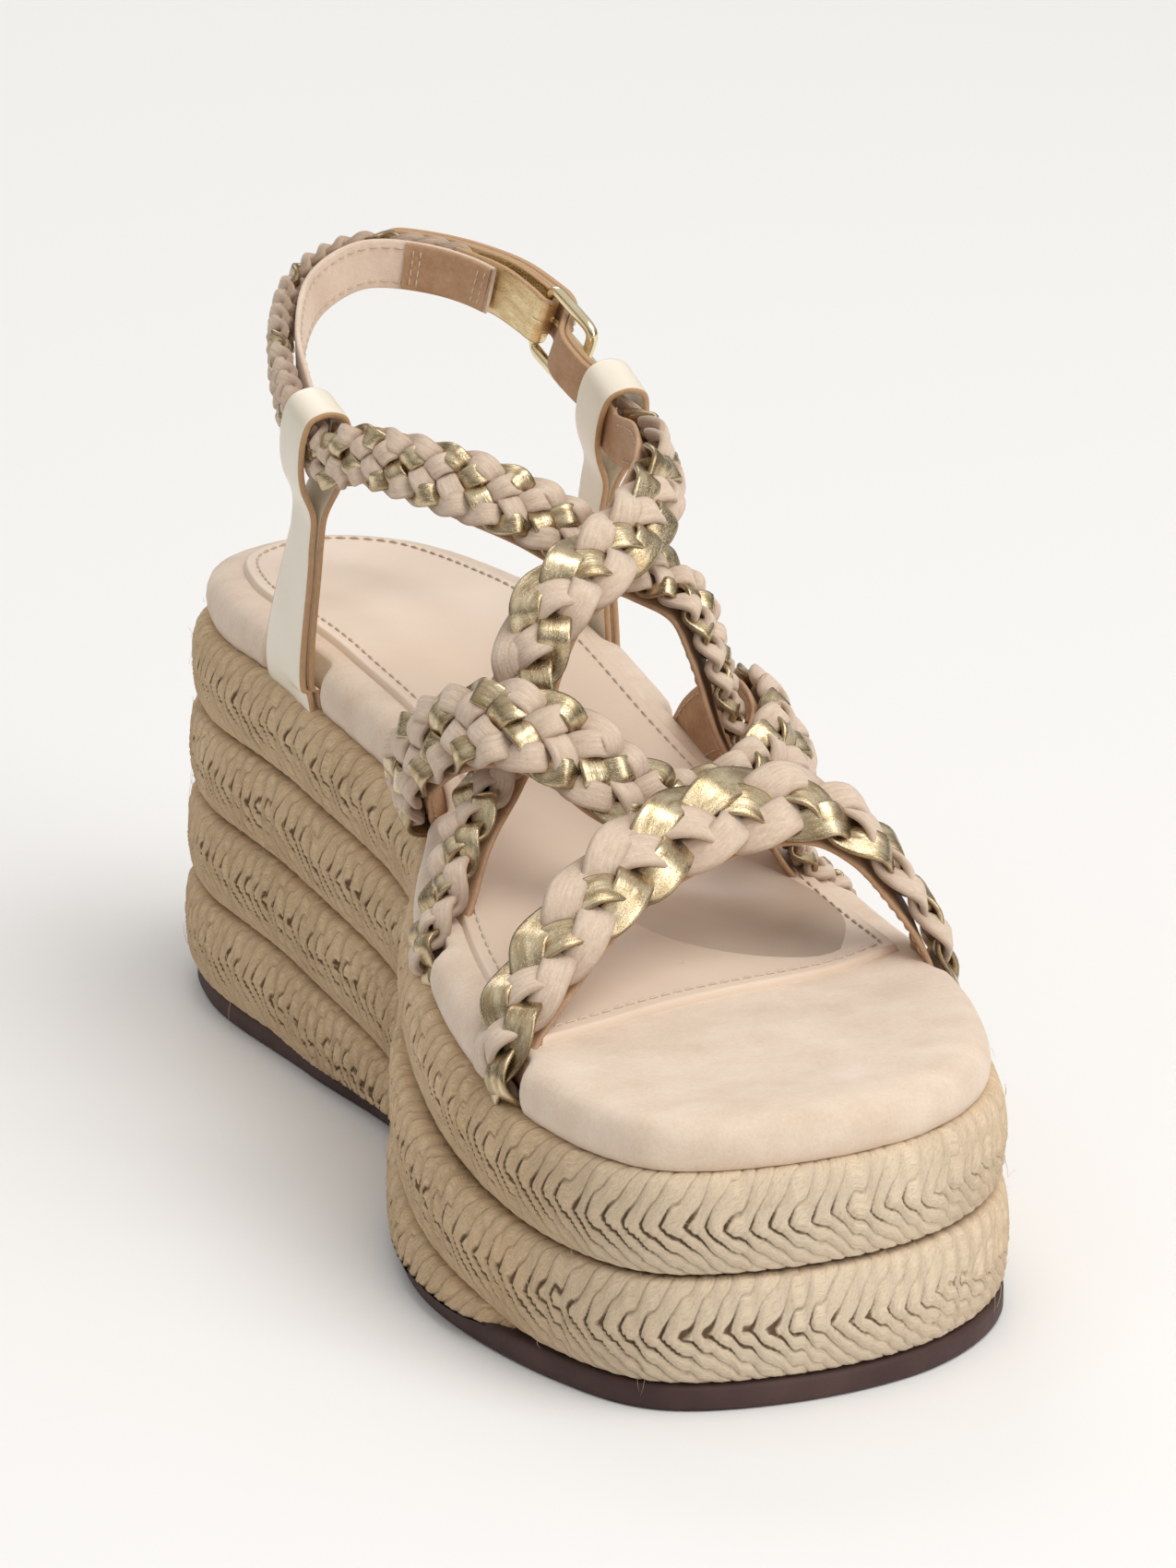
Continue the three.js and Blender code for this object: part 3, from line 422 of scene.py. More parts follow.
def jute_row(row):
    """A band with a rounded section, raised into strands. Across the band, g is the distance
    from its middle line. A strand is the curve along which (s - lean * |g|) / pitch keeps one
    whole number, and its own section is the upper half of a circle. Where a row reaches the
    outsole its lower edge follows the rubber, and past that it is hidden inside the sole."""
    count, columns = JUTE_PLACES, JUTE_COLUMNS
    places, outward, length = outline(count)
    s = np.linspace(0, length, count, endpoint=False)[:, None]
    angle = np.linspace(-1, 1, columns) * np.pi / 2
    upper_rounding = TOP_ROUNDING if row == 0 else ROW_ROUNDING
    out = np.cos(angle) ** np.where(angle < 0, ROW_ROUNDING, upper_rounding)
    level = 0.5 + 0.5 * np.sign(angle) * np.abs(np.sin(angle)) ** 0.9
    x, y = places[:, :1], places[:, 1:]
    top = topline(x, y)
    climbed = (top - TOE_HEIGHT) / (HEEL_HEIGHT - TOE_HEIGHT)
    pitch = TOE_PITCH + (HEEL_PITCH - TOE_PITCH) * climbed
    upper = top - row * pitch
    waver = SEAM_WAVER * ripple((9, 60), 10 + row, count)[:, None]
    g = (level[None, :] - 0.5 - waver) * pitch + np.sign(angle) * 2.2 * (1 - out) ** 1.5
    lean = np.where(g > 0, LEAN_ABOVE, LEAN_BELOW) * np.abs(g)
    turns = round(length / STRAND_PITCH)
    jitter = STRAND_JITTER * ripple((40, 210), 30 + row, count)[:, None]
    phase = (s - lean) * turns / length + jitter
    across = 2 * (phase % 1) - 1
    strand = np.sqrt(np.clip(1 - across ** 2, 0, 1))
    whole = np.floor(phase).astype(int) % turns
    fatness = np.random.default_rng(50 + row).uniform(0.55, 1.25, (turns, 2))
    fat = fatness[whole, (g > 0).astype(int)]
    near_seam = np.exp(-((g + 0.9) / 3.2) ** 2)
    yarns = YARN_RELIEF * np.cos(3 * np.pi * across)
    relief = (0.75 + 0.55 * near_seam) * fat * (strand - 0.75) + yarns
    inset = JUTE_THICKNESS * (1 - out)[None, :] - 0.35 * out[None, :] - relief * out[None, :]
    hidden = 1 - smoothstep((upper - OUTSOLE_TOP) / 4)
    inset = inset - row * JUTE_ROW_FLARE + hidden * (JUTE_THICKNESS + BALL_BULGE)
    height = upper - pitch + (0.02 + 0.96 * level[None, :]) * pitch
    height = height + np.sin(angle)[None, :] * relief * (1 - out[None, :]) * 0.8
    gap = np.maximum(upper - pitch - OUTSOLE_TOP + SOLE_OVERLAP, 0)
    meets_sole = 1 - smoothstep(gap / 4)
    height = height - (1 - level[None, :]) * gap * meets_sole
    height = np.maximum(height, OUTSOLE_TOP - SOLE_OVERLAP)
    swell = 0 if row == 0 else BALL_BULGE
    surface = sole_surface(count, inset, height, swell)
    # Painted shade in the slits: strongest near the middle line, on thin strands, and on the medial side.
    medial_weight = 0.5 + 0.9 * smoothstep(0.5 - outward[:, :1])
    slit = np.clip((0.2 + near_seam) * (1.6 - fat) * medial_weight, 0, 1)
    uv = np.stack([np.broadcast_to(phase, inset.shape), np.broadcast_to(g, inset.shape)], -1)
    faces = grid_faces(count, columns, close_rows=True)
    first = np.arange(count) * columns
    following = np.roll(first, -1)
    last = columns - 1
    inner = np.stack([first, following, following + last, first + last], axis=1)
    return make_mesh(f"jute_braid_{row + 1}", surface.reshape(-1, 3),
                     np.vstack([faces, inner[:, ::-1]]), uv.reshape(-1, 2), shade=slit.ravel())


def jute_paint():
    """Dull straw-coloured yarn: fine streaks along each strand, painted shade in the slits
    between strands, patches where the jute is browner, and painted light paling the toe."""
    paint = Paint("jute_yarn", Roughness=0.92, Specular_IOR_Level=0.2, Sheen_Weight=0.08,
                  Sheen_Roughness=0.6)
    along = paint.along()
    place = paint.place()
    streaks = paint.noise(paint.stretch(along, (9, 0.5, 1)), 1.0, 5, 0.7)
    hairs = paint.noise(paint.stretch(along, (30, 1.3, 1)), 1.0, 4, 0.7)
    patches = paint.noise(place, 38, 4)
    across = paint.node("SeparateXYZ", {0: along}).maths("FRACT") * 2 - 1
    edge = across.maths("ABSOLUTE")
    slit_shade = paint.shade()
    wander = 0.3 * (hairs - 0.5)
    slit = (edge + wander - 0.9 + 0.28 * slit_shade) * 5
    base = paint.mix(patches.ramp(0.35, 0.68), (0.60, 0.40, 0.215), (0.80, 0.575, 0.345))
    straw = paint.mix(streaks.ramp(0.38, 0.7) * 0.7, base, (0.95, 0.76, 0.52))
    # Painted light: the yarn is made paler toward the toe, standing in for the brighter light on the
    # front.
    toward_heel = paint.node("SeparateXYZ", {0: place}, output=1)
    toe_light = (1 - toward_heel.ramp(-0.13, -0.09)) * 0.6
    straw_and_toe_light = paint.mix(toe_light, straw, (0.95, 0.84, 0.68))
    browned = paint.mix(hairs.ramp(0.5, 0.66) * 0.5, straw_and_toe_light, (0.42, 0.265, 0.135))
    # Painted shade: the slits between strands are darkened toward a deep brown.
    colour = paint.mix(slit.ramp(0.0, 1.0) * slit_shade.ramp(0.0, 0.7) * 0.93, browned, SLIT_SHADE)
    return paint.set(Base_Color=colour, Normal=paint.bump(streaks + 0.8 * hairs, 0.75, 0.35))


def jute_hairs():
    """Loose hairs: each is a thin three-sided tube whose middle line is a bent arc."""
    draw = np.random.default_rng(7)
    places, outward, _ = outline(JUTE_PLACES)
    pick = draw.integers(0, len(places), HAIRS)
    row = draw.uniform(0.02, 3.9, HAIRS)
    p, n = places[pick], outward[pick]
    top = topline(p[:, 0], p[:, 1])
    z = top - row * TOE_PITCH
    keep = z > OUTSOLE_TOP + 1
    p, n, z, row = p[keep], n[keep], z[keep], row[keep]
    out = 0.3 + JUTE_ROW_FLARE * np.floor(row) + np.where(
        row > 1, BALL_BULGE * beside_ball(p), 0)
    length = draw.gamma(2.2, 1.1, len(p)).clip(0.8, 6.5)
    root = np.column_stack([p + n * out[:, None], z])
    side = np.column_stack([-n[:, 1], n[:, 0], np.zeros(len(p))])
    outward3 = np.column_stack([n, np.zeros(len(p))])
    turn = draw.uniform(0, 2 * np.pi, len(p))
    lift = draw.uniform(0.08, 0.5, len(p))
    way = (np.cos(turn)[:, None] * side + np.sin(turn)[:, None] * [[0, 0, 1.0]]
           + lift[:, None] * outward3)
    bend = np.cross(way, outward3) * draw.normal(0, 0.5, len(p))[:, None] - 0.25 * outward3
    t = np.linspace(0, 1, 6)[None, :, None]
    line = root[:, None] + length[:, None, None] * (way[:, None] * t + bend[:, None] * t ** 2)
    corner = np.arange(3) * 2 * np.pi / 3
    radius = (0.055 * (1 - 0.7 * t))[..., None]
    ring = (np.cos(corner)[None, None, :, None] * outward3[:, None, None, :]
            + np.sin(corner)[None, None, :, None] * bend[:, None, None, :]
            / np.maximum(np.linalg.norm(bend, axis=1), 1e-6)[:, None, None, None])
    points = line[:, :, None, :] + radius * ring
    points[..., 2] = np.maximum(points[..., 2], LOWEST_HAIR)
    one = grid_faces(6, 3, close_columns=True)
    faces = (one[None] + (np.arange(len(p)) * 18)[:, None, None]).reshape(-1, 4)
    return make_mesh("jute_loose_hairs", points.reshape(-1, 3), faces)


jute = jute_paint()
for row in range(JUTE_ROWS):
    finish_piece(jute_row(row), "sandal", "jute", [jute], f"jute_row_{row + 1}")
hair_paint = Paint("jute_hair", Base_Color=(0.72, 0.6, 0.42), Roughness=0.8)
finish_piece(jute_hairs(), "sandal", "jute", [hair_paint.material])

# ---------------------------------------------------------------- inside the sole
# The foam core, the insole board and the steel shank are hidden by the pieces round them.
# They keep their plain solids and only get a material each.


def hidden_paint(name, dark, light, scale, **constants):
    """A plain material for a part inside the sole: two colours mixed by an even grain."""
    paint = Paint(name, **constants)
    grain = paint.noise(paint.place(), scale)
    return paint.set(Base_Color=paint.mix(grain, dark, light),
                     Normal=paint.bump(grain, 0.4, 0.15))


for node, inner_paint in [
        ("wedge_core", hidden_paint("wedge_foam", (0.42, 0.34, 0.22), (0.52, 0.44, 0.31), 700,
                                    Roughness=0.9)),
        ("insole_board", hidden_paint("fibre_board", (0.30, 0.21, 0.13), (0.42, 0.31, 0.20), 1200,
                                      Roughness=0.85)),
        ("steel_shank", hidden_paint("shank_steel", (0.42, 0.42, 0.43), (0.56, 0.56, 0.57), 300,
                                     Metallic=1.0, Roughness=0.35))]:
    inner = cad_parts[node]
    inner.data.materials.clear()
    inner.data.materials.append(inner_paint)

# ---------------------------------------------------------------- footbed
# A soft pad of foam on the insole board, wrapped in pale pink-beige suede that is pulled
# down over its edge and tucked in behind the jute. The straps press into its side.
DENT_DEPTH = 3.6
DENT_FADE = 2.5  # how far past a strap's edge its dent runs out
PUCKER = 0.12
TAILS = [  # each strap's side, place and width where it enters the pad's edge
    (-1, -80.5, 12), (1, -62, 12), (-1, 5, 15), (1, 21, 15),
    (-1, -40.5, 9), (1, -23, 9), (-1, 60, 19), (1, 60, 19)]


def strap_dents(places):
    """How far the footbed's side is pressed in beside each strap: 1 across the strap's width,
    falling to 0 just past its edges."""
    press = np.zeros(len(places))
    for side, y, width in TAILS:
        on_side = places[:, 0] * side > 0
        past_edge = np.abs(places[:, 1] - y) - width / 2
        press = np.maximum(press, smoothstep((DENT_FADE - past_edge) / 3) * on_side)
    return press


def dish(x, y):
    """How far the footbed's top sinks inside its rim: a smooth step of the distance from the
    outline, a little deeper under the heel."""
    rim, _, _ = outline(360)
    near = np.full(np.shape(x), 1e9)
    for place in rim:
        near = np.minimum(near, (x - place[0]) ** 2 + (y - place[1]) ** 2)
    deepest = 0.8 + 0.7 * smoothstep((y - 20) / 80)
    return deepest * smoothstep((np.sqrt(near) - 8) / 18)


def covered_surface(count, insets, heights, inward, press):
    """The outline's profile, pressed in by press, then straight steps to the middle line.
    Heights are above the topline at each place, so the surface keeps the wedge's slope."""
    places, outward, _ = outline(count)
    reach = np.asarray(insets) + press
    rim = places[:, None, :] - outward[:, None, :] * reach[..., None]
    middle = spine_of(rim[:, -1])
    share = np.asarray(inward)[None, 1:, None]
    inside = rim[:, -1:] + (middle[:, None] - rim[:, -1:]) * share
    plan = np.concatenate([rim, inside], axis=1)
    rise = np.concatenate([np.broadcast_to(heights, (count, len(heights))),
                           heights[-1] - dish(inside[..., 0], inside[..., 1])], axis=1)
    z = topline(plan[..., 0], plan[..., 1]) + rise
    return np.concatenate([plan, z[..., None]], axis=-1)


def spine_of(edge):
    """The place on the sole's middle line that an edge place looks at."""
    y = np.clip(edge[:, 1], -SOLE_LENGTH / 2 + 46, SOLE_LENGTH / 2 - 36)
    x = np.interp(y, [-90, -50, 0, 50, 100], [-2, 0, 7, 4, 0])
    return np.stack([x, y], axis=1)


def footbed():
    """The pad's cover: up its side, over the rounded rim and across the dished top."""
    count = 900
    insets = [7.5, 4.6, 3.0, 2.45, 2.25, 2.5, 3.1, 4.2, 5.6, 7.4, 10.5]
    heights = [-0.8, -0.8, 0.0, 1.6, 3.4, 5.2, 6.7, 7.8, 8.35, 8.6, 8.65]
    inward = np.linspace(0, 1, 9) ** 1.1
    places, _, _ = outline(count)
    fade = np.array([0.4, 0.8, 1, 1, 1, 0.95, 0.8, 0.5, 0.2, 0, 0])
    press = DENT_DEPTH * strap_dents(places)[:, None] * fade[None, :]
    surface = covered_surface(count, insets, np.array(heights), inward, press)
    columns = surface.shape[1]
    on_side = np.exp(-((np.arange(columns) - 4) / 2.5) ** 2)
    surface[..., 2] += PUCKER * ripple((30, 120), 3, count)[:, None] * on_side[None, :]
    faces = grid_faces(count, columns, close_rows=True)
    return make_mesh("footbed_suede", surface.reshape(-1, 3), faces,
                     rims=flat_rims(count, columns)[:1])


def suede_paint(name, light, dark, scale=1.0):
    """Brushed suede: a fine nap, with soft lighter and darker patches where it is brushed
    another way, and a sheen at grazing angles."""
    paint = Paint(name, Roughness=0.88, Specular_IOR_Level=0.25, Sheen_Weight=0.45,
                  Sheen_Roughness=0.45, Sheen_Tint=(1.0, 0.93, 0.88))
    place = paint.place()
    nap = paint.noise(place, 1500 * scale, 5, 0.75)
    brushed = paint.noise(paint.stretch(place, (1, 1.6, 1)), 85 * scale, 4, 0.6)
    cloud = paint.noise(place, 26, 2)
    tone = (0.55 * brushed + 0.2 * cloud + 0.4 * nap).ramp(0.42, 0.72)
    return paint.set(Base_Color=paint.mix(tone, dark, light),
                     Normal=paint.bump(nap + 0.6 * brushed, 0.55, 0.22))


suede = suede_paint("footbed_suede", (0.87, 0.725, 0.585), (0.72, 0.555, 0.42))
cover = footbed()
finish_piece(cover, "sandal", "suede", [suede], "footbed_cover", "footbed_foam")

# ---------------------------------------------------------------- sock lining
# A sheet of smooth pinkish-beige leather on top of the pad, stitched close to its edge. It
# stops behind the toes along a straight slanting edge.
SOCK_INSET = 9.5
SOCK_FRONT = -71.0
SOCK_SLANT = 0.31
SOCK_LIFT = 8.75
SOCK_THICKNESS = 1.2


def sock_plan(count, inset):
    """Plan of the lining's edge: the outline moved inward, with everything in front of the
    slanting cut moved straight back onto it."""
    places, outward, _ = outline(count)
    edge = places - outward * inset
    cut = SOCK_FRONT + SOCK_SLANT * edge[:, 0] + max(inset - SOCK_INSET, 0)
    return np.column_stack([edge[:, 0], np.maximum(edge[:, 1], cut)])


def sock_height(x, y):
    """Height of the pad's top under the lining."""
    return topline(x, y) + SOCK_LIFT - dish(x, y)


def sock_lining():
    """A rounded edge standing on the pad, then steps to the middle line."""
    count = 900
    share = np.concatenate([[0], np.linspace(0, 1, 16) ** 1.15 * 0.98 + 0.02])
    edge = sock_plan(count, SOCK_INSET)
    middle = spine_of(edge)
    middle[:, 1] = np.maximum(middle[:, 1], SOCK_FRONT + 12)
    below_top = np.array([1.35, 0.85, 0.25, 0.05, 0])
    near = [sock_plan(count, SOCK_INSET - 0.15 + 0.25 * k) for k in range(5)]
    plan = np.stack(near, axis=1)
    last = plan[:, -1:]
    inside = last + (middle[:, None] - last) * share[None, 1:, None]
    plan = np.concatenate([plan, inside], axis=1)
    rise = SOCK_THICKNESS - np.concatenate([below_top, np.zeros(len(share) - 1)])
    z = sock_height(plan[..., 0], plan[..., 1]) + rise[None, :]
    surface = np.concatenate([plan, z[..., None]], axis=-1)
    base = surface[:, 0] - [0, 0, 0.6]
    surface = np.concatenate([base[:, None], surface], axis=1)
    columns = surface.shape[1]
    faces = grid_faces(count, columns, close_rows=True)
    return make_mesh("sock_leather", surface.reshape(-1, 3), faces,
                     rims=flat_rims(count, columns)[:1])


def stitches(name, places, normals, pitch, radius=0.22, sink=0.05):
    """Short rounded stitches end to end along a line of places in millimetres. Each is a
    six-sided spindle: its radius follows the square root of a sine, and its ends dip."""
    run = distance_run(places)
    number = int(run[-1] / pitch)
    starts = np.arange(number) * pitch + 0.12 * pitch
    t = np.linspace(0, 1, 6)
    at = starts[:, None] + 0.76 * pitch * t[None, :]
    line = np.stack([np.interp(at, run, places[:, k]) for k in range(3)], axis=-1)
    up = np.stack([np.interp(at, run, normals[:, k]) for k in range(3)], axis=-1)
    up /= np.linalg.norm(up, axis=-1)[..., None]
    forward = np.gradient(line, axis=1)
    forward /= np.linalg.norm(forward, axis=-1)[..., None]
    side = np.cross(forward, up)
    arch = np.sin(np.pi * (0.06 + 0.88 * t))
    line = line + up * ((radius * 1.3 * arch - sink)[None, :, None])
    corner = np.arange(6) * np.pi / 3
    thick = (radius * np.sqrt(arch))[None, :, None, None]
    ring = (np.cos(corner)[None, None, :, None] * side[:, :, None]
            + np.sin(corner)[None, None, :, None] * up[:, :, None])
    points = (line[:, :, None] + thick * ring).reshape(-1, 3)
    one = grid_faces(6, 6, close_columns=True)
    ends = np.array([[0, 1, 2, 3], [0, 3, 4, 5], [33, 32, 31, 30], [35, 34, 33, 30]])
    one = np.vstack([one, ends])
    faces = (one[None] + (np.arange(number) * 36)[:, None, None]).reshape(-1, 4)
    return make_mesh(name, points, faces)


def sock_stitches():
    """One line of stitches just inside the lining's edge."""
    plan = sock_plan(2400, SOCK_INSET + 2.6)
    plan = np.vstack([plan, plan[:1]])
    z = sock_height(plan[:, 0], plan[:, 1]) + SOCK_THICKNESS
    line = np.column_stack([plan, z])
    return stitches("sock_stitches", line, np.tile([0.0, 0, 1], (len(line), 1)), 2.7, 0.24)


def smooth_leather_paint():
    """Smooth finished leather with a soft gloss and a hardly visible grain."""
    paint = Paint("sock_leather", Specular_IOR_Level=0.45, Coat_Weight=0.12,
                  Coat_Roughness=0.3)
    place = paint.place()
    grain = paint.node("TexVoronoi", {"Vector": place, "Scale": 1300.0})
    cloud = paint.noise(place, 30, 3)
    colour = paint.mix(cloud.ramp(0.3, 0.7), (0.77, 0.60, 0.46), (0.86, 0.70, 0.56))
    return paint.set(Base_Color=colour, Roughness=0.33 + 0.12 * cloud,
                     Normal=paint.bump(grain, 0.18, 0.08))


def thread_paint(name, colour):
    """Sewing thread, with painted shade between its twists, laid on by a fine noise."""
    paint = Paint(name, Roughness=0.6, Sheen_Weight=0.2)
    twist = paint.noise(paint.place(), 2500)
    darker = tuple(0.7 * part for part in colour)
    return paint.set(Base_Color=paint.mix(twist, darker, colour),
                     Normal=paint.bump(twist, 0.5, 0.08))


finish_piece(sock_lining(), "sandal", "sock_leather", [smooth_leather_paint()], "sock_lining")
thread = thread_paint("cream_thread", (0.80, 0.66, 0.53))
finish_piece(sock_stitches(), "sandal", "sock_leather", [thread])

# ---------------------------------------------------------------- straps over the foot
# Each strap is a flat plait of four or five leather strands, some suede and some faced with
# pale gold foil, laid on a narrower strip of tan lining leather. Its ends go down between
# the footbed and the jute, and are lasted under the insole board.
BRAID_THICKNESS = 4.6
LINING_THICKNESS = 1.2
LINING_GAP = 0.7
LINING_SHARE = 0.9  # the lining's width, as a share of the plait's
TAIL_DEPTH = 9
TAIL_INSET = 3.6
TAIL_TUCK = 1.4
STRAP_HEIGHT = 10.5
SPLIT = 1.5


def edge_x(side, y, inset):
    """The outline's x at a given y on the medial (-1) or lateral (+1) side."""
    places, outward, _ = outline(2400)
    edge = places - outward * inset
    near = np.where(edge[:, 0] * side > 0, np.abs(edge[:, 1] - y), 1e9)
    return edge[np.argmin(near), 0]


def on_last(x, y, height, facing, width):
    """A row of a route: a place, the way its outer face looks, and its width there."""
    return np.array([x, y, float(topline(x, y)) + height, *facing, width])


def tail(side, y, width, lean=0.0):
    """The rows of a strap's end, standing in its pocket beside the footbed."""
    rows = []
    for inset, height in [(TAIL_INSET + TAIL_TUCK, -TAIL_DEPTH), (TAIL_INSET, -1),
                          (TAIL_INSET - TAIL_TUCK, 4)]:
        at = y - lean * height
        rows.append(on_last(edge_x(side, at, inset), at, height, (side, 0, 0), width))
    return rows


RING_ROUTE = [on_last(*row, STRAP_HEIGHT) for row in [
    (-29.5, 44, 53.7, (-1, 0, 0)), (-29.4, 52, 54.6, (-1, 0, 0)),
    (-28, 60, 56.6, (-0.98, 0.1, 0)), (-24, 73, 60.7, (-0.85, 0.5, 0)),
    (-14, 88, 66.5, (-0.5, 0.85, 0)), (0, 94.5, 69.5, (0, 1, 0)),
    (13, 90.5, 68.5, (0.5, 0.85, 0)), (22.5, 80, 66, (0.85, 0.5, 0)),
    (27.5, 69, 62, (0.97, 0.25, 0)), (29.9, 60, 58.4, (1, 0.08, 0)),
    (31, 52, 56, (1, 0, 0)), (31, 44, 55.1, (1, 0, 0))]]


def unit(vectors):
    """The vectors at length one."""
    return vectors / np.maximum(np.linalg.norm(vectors, axis=-1, keepdims=True), 1e-9)


def strap_path(route, count):
    """Evenly spaced places along a route with their own three directions: along the strap,
    out of its face, and across it; also its width and the distance run."""
    route = np.asarray(route, float)
    t, length = even_steps(route[:, :3], count)
    at = curve_through(route[:, :3], t)
    along = unit(np.gradient(at, axis=0))
    out = curve_through(route[:, 3:6], t)
    out = unit(out - along * np.sum(out * along, axis=1)[:, None])
    width = np.interp(t * (len(route) - 1), np.arange(len(route)), route[:, 6])
    return at, along, out, np.cross(along, out), width, np.linspace(0, length, count)


RING = strap_path(RING_ROUTE, 1200)
RING_LENGTH = RING[5][-1]


def on_ring(distance, out, width):
    """A row of a route that follows the ankle ring at a distance from its medial end."""
    at, facing = [np.array([np.interp(distance, RING[5], part[:, k]) for k in range(3)])
                  for part in (RING[0], RING[2])]
    return np.array([*(at + unit(facing) * out), *unit(facing), width])


def loop_end(distance, outward, away):
    """The last rows of a front strap, which run into a loop in line with the ring."""
    row = on_ring(distance, 0, STRAP_HEIGHT)
    index = 0 if distance == 0 else -1
    along = RING[1][index] * outward
    return [np.array([*(row[:3] + along * short), *row[3:]]) for short in away]


ROUTES = {
    "toe_strap": tail(-1, -80.5, 12) + [on_last(*row) for row in [
        (-44, -78.5, 11.3, (-0.85, -0.4, 0.4), 13), (-36, -74.6, 18, (-0.65, -0.6, 0.5), 14),
        (-25.2, -69.2, 24.8, (-0.4, -0.7, 0.6), 15), (-13.6, -62.9, 29.5, (-0.2, -0.72, 0.65), 16),
        (-0.2, -57.9, 33.5, (0, -0.72, 0.7), 16), (14, -54.5, 36.6, (0.2, -0.7, 0.68), 16),
        (25.1, -54.9, 36.5, (0.45, -0.62, 0.64), 15), (33.4, -57.5, 31.2, (0.65, -0.55, 0.5), 14),
        (40, -60.1, 21.9, (0.85, -0.4, 0.35), 13), (45, -61.5, 13.1, (0.93, -0.3, 0.2), 12.5),
    ]] + tail(1, -62, 12)[::-1],
    "vamp_strap": tail(-1, 7, 15, 0.5) + [on_last(*row) for row in [
        (-30.5, -1, 10, (-0.97, -0.12, 0.12), 15), (-33.5, -8.5, 19.6, (-0.92, -0.22, 0.27), 16),
        (-31.6, -22.6, 33.2, (-0.72, -0.48, 0.48), 16), (-25, -36.6, 41.3, (-0.5, -0.65, 0.58), 16),
        (-15.2, -41, 39.3, (-0.3, -0.72, 0.62), 16), (-7.2, -44.4, 34.6, (-0.12, -0.75, 0.65), 15),
        (4.3, -46, 32.2, (0, -0.72, 0.7), 15), (18.7, -42.5, 35.6, (0.35, -0.65, 0.66), 15),
        (33, -27, 36.3, (0.72, -0.42, 0.54), 16), (38, -10, 31.9, (0.9, -0.15, 0.4), 16),
        (39, 4.5, 22.5, (0.96, -0.05, 0.26), 16), (38.4, 16, 11.4, (1, 0, 0.1), 15),
    ]] + tail(1, 23, 15, 0.5)[::-1],
    "instep_strap_a": tail(-1, -40.5, 9) + [on_last(*row) for row in [
        (-39, -38, 10.5, (-0.93, -0.28, 0.22), 9.5), (-33.5, -34, 20.3, (-0.87, -0.38, 0.33), 10),
        (-24.8, -27, 26.8, (-0.8, -0.45, 0.4), 11), (-20.6, -26.6, 35.6, (-0.7, -0.52, 0.48), 12),
        (-16.8, -24.5, 46.3, (-0.6, -0.6, 0.5), 13), (-11, -22.5, 56.5, (-0.35, -0.67, 0.62), 14),
        (0.2, -17.8, 63.4, (-0.05, -0.72, 0.7), 14), (11.6, -10, 67.8, (0.35, -0.62, 0.68), 13),
        (22.8, 4, 68.2, (0.75, -0.4, 0.45), 12), (28.6, 20, 63.2, (0.95, -0.2, 0.2), 11),
    ]] + loop_end(RING_LENGTH, 1, (7.5, SPLIT)),
    "instep_strap_b": loop_end(0, -1, (SPLIT, 7.5)) + [on_last(*row) for row in [
        (-27.8, 30, 57.2, (-0.97, -0.2, 0.1), 11), (-22.5, 20, 59.6, (-0.85, -0.4, 0.3), 12),
        (-14.5, 9, 61.4, (-0.55, -0.6, 0.5), 13), (-5, 1, 61.6, (-0.25, -0.7, 0.65), 13),
        (5.6, -5, 59.4, (0.05, -0.72, 0.7), 13), (14.8, -6.6, 57.4, (0.32, -0.7, 0.64), 13),
        (21.3, -11.8, 54.6, (0.6, -0.6, 0.52), 12), (24, -15, 46.8, (0.75, -0.5, 0.42), 11),
        (26.6, -17.8, 35.2, (0.85, -0.4, 0.35), 10), (30.5, -21, 26, (0.9, -0.3, 0.3), 9.5),
        (37, -22.8, 12.5, (0.95, -0.2, 0.22), 9.5),
    ]] + tail(1, -23, 9)[::-1],
}


def strip(path, section, start=0, offset=0.0):
    """A section carried along a path. Each section place is (share of the width, height);
    gives points, faces, and a map in millimetres along and across."""
    at, along, out, across, width, run = path
    section = np.asarray(section, float)
    reach = across[:, None] * (section[None, :, :1] * width[:, None, None])
    points = at[:, None] + reach + out[:, None] * (section[None, :, 1:] + offset)
    rows, columns = points.shape[:2]
    faces = grid_faces(rows, columns, close_columns=True, start=start)[:, ::-1]
    girth = distance_run(section * [np.mean(width), 1])
    uv = np.stack(np.broadcast_arrays(run[:, None], girth[None, :]), axis=-1)
    return points.reshape(-1, 3), faces, uv.reshape(-1, 2)


def strip_ends(rows, columns, start=0):
    """The two faces that close a strip."""
    return [start + np.arange(columns), start + (rows - 1) * columns + np.arange(columns)[::-1]]


def rounded_section(sides, thickness, corner=2.6):
    """A flat oval: x and height follow the sine and cosine of an angle, raised to a power
    that squares the corners."""
    angle = np.linspace(0, 2 * np.pi, sides, endpoint=False)
    power = 2 / corner
    x = np.sign(np.cos(angle)) * np.abs(np.cos(angle)) ** power / 2
    height = np.sign(np.sin(angle)) * np.abs(np.sin(angle)) ** power * thickness / 2
    return np.column_stack([x, height])


SHINGLE = 0.16  # how far a strand leans over the one beside it
PLAIT_RISE = 1.5  # how far a strand climbs over, and dips under, its neighbours
SUEDE_THICKNESS = 1.55
GOLD_THICKNESS = 1.1


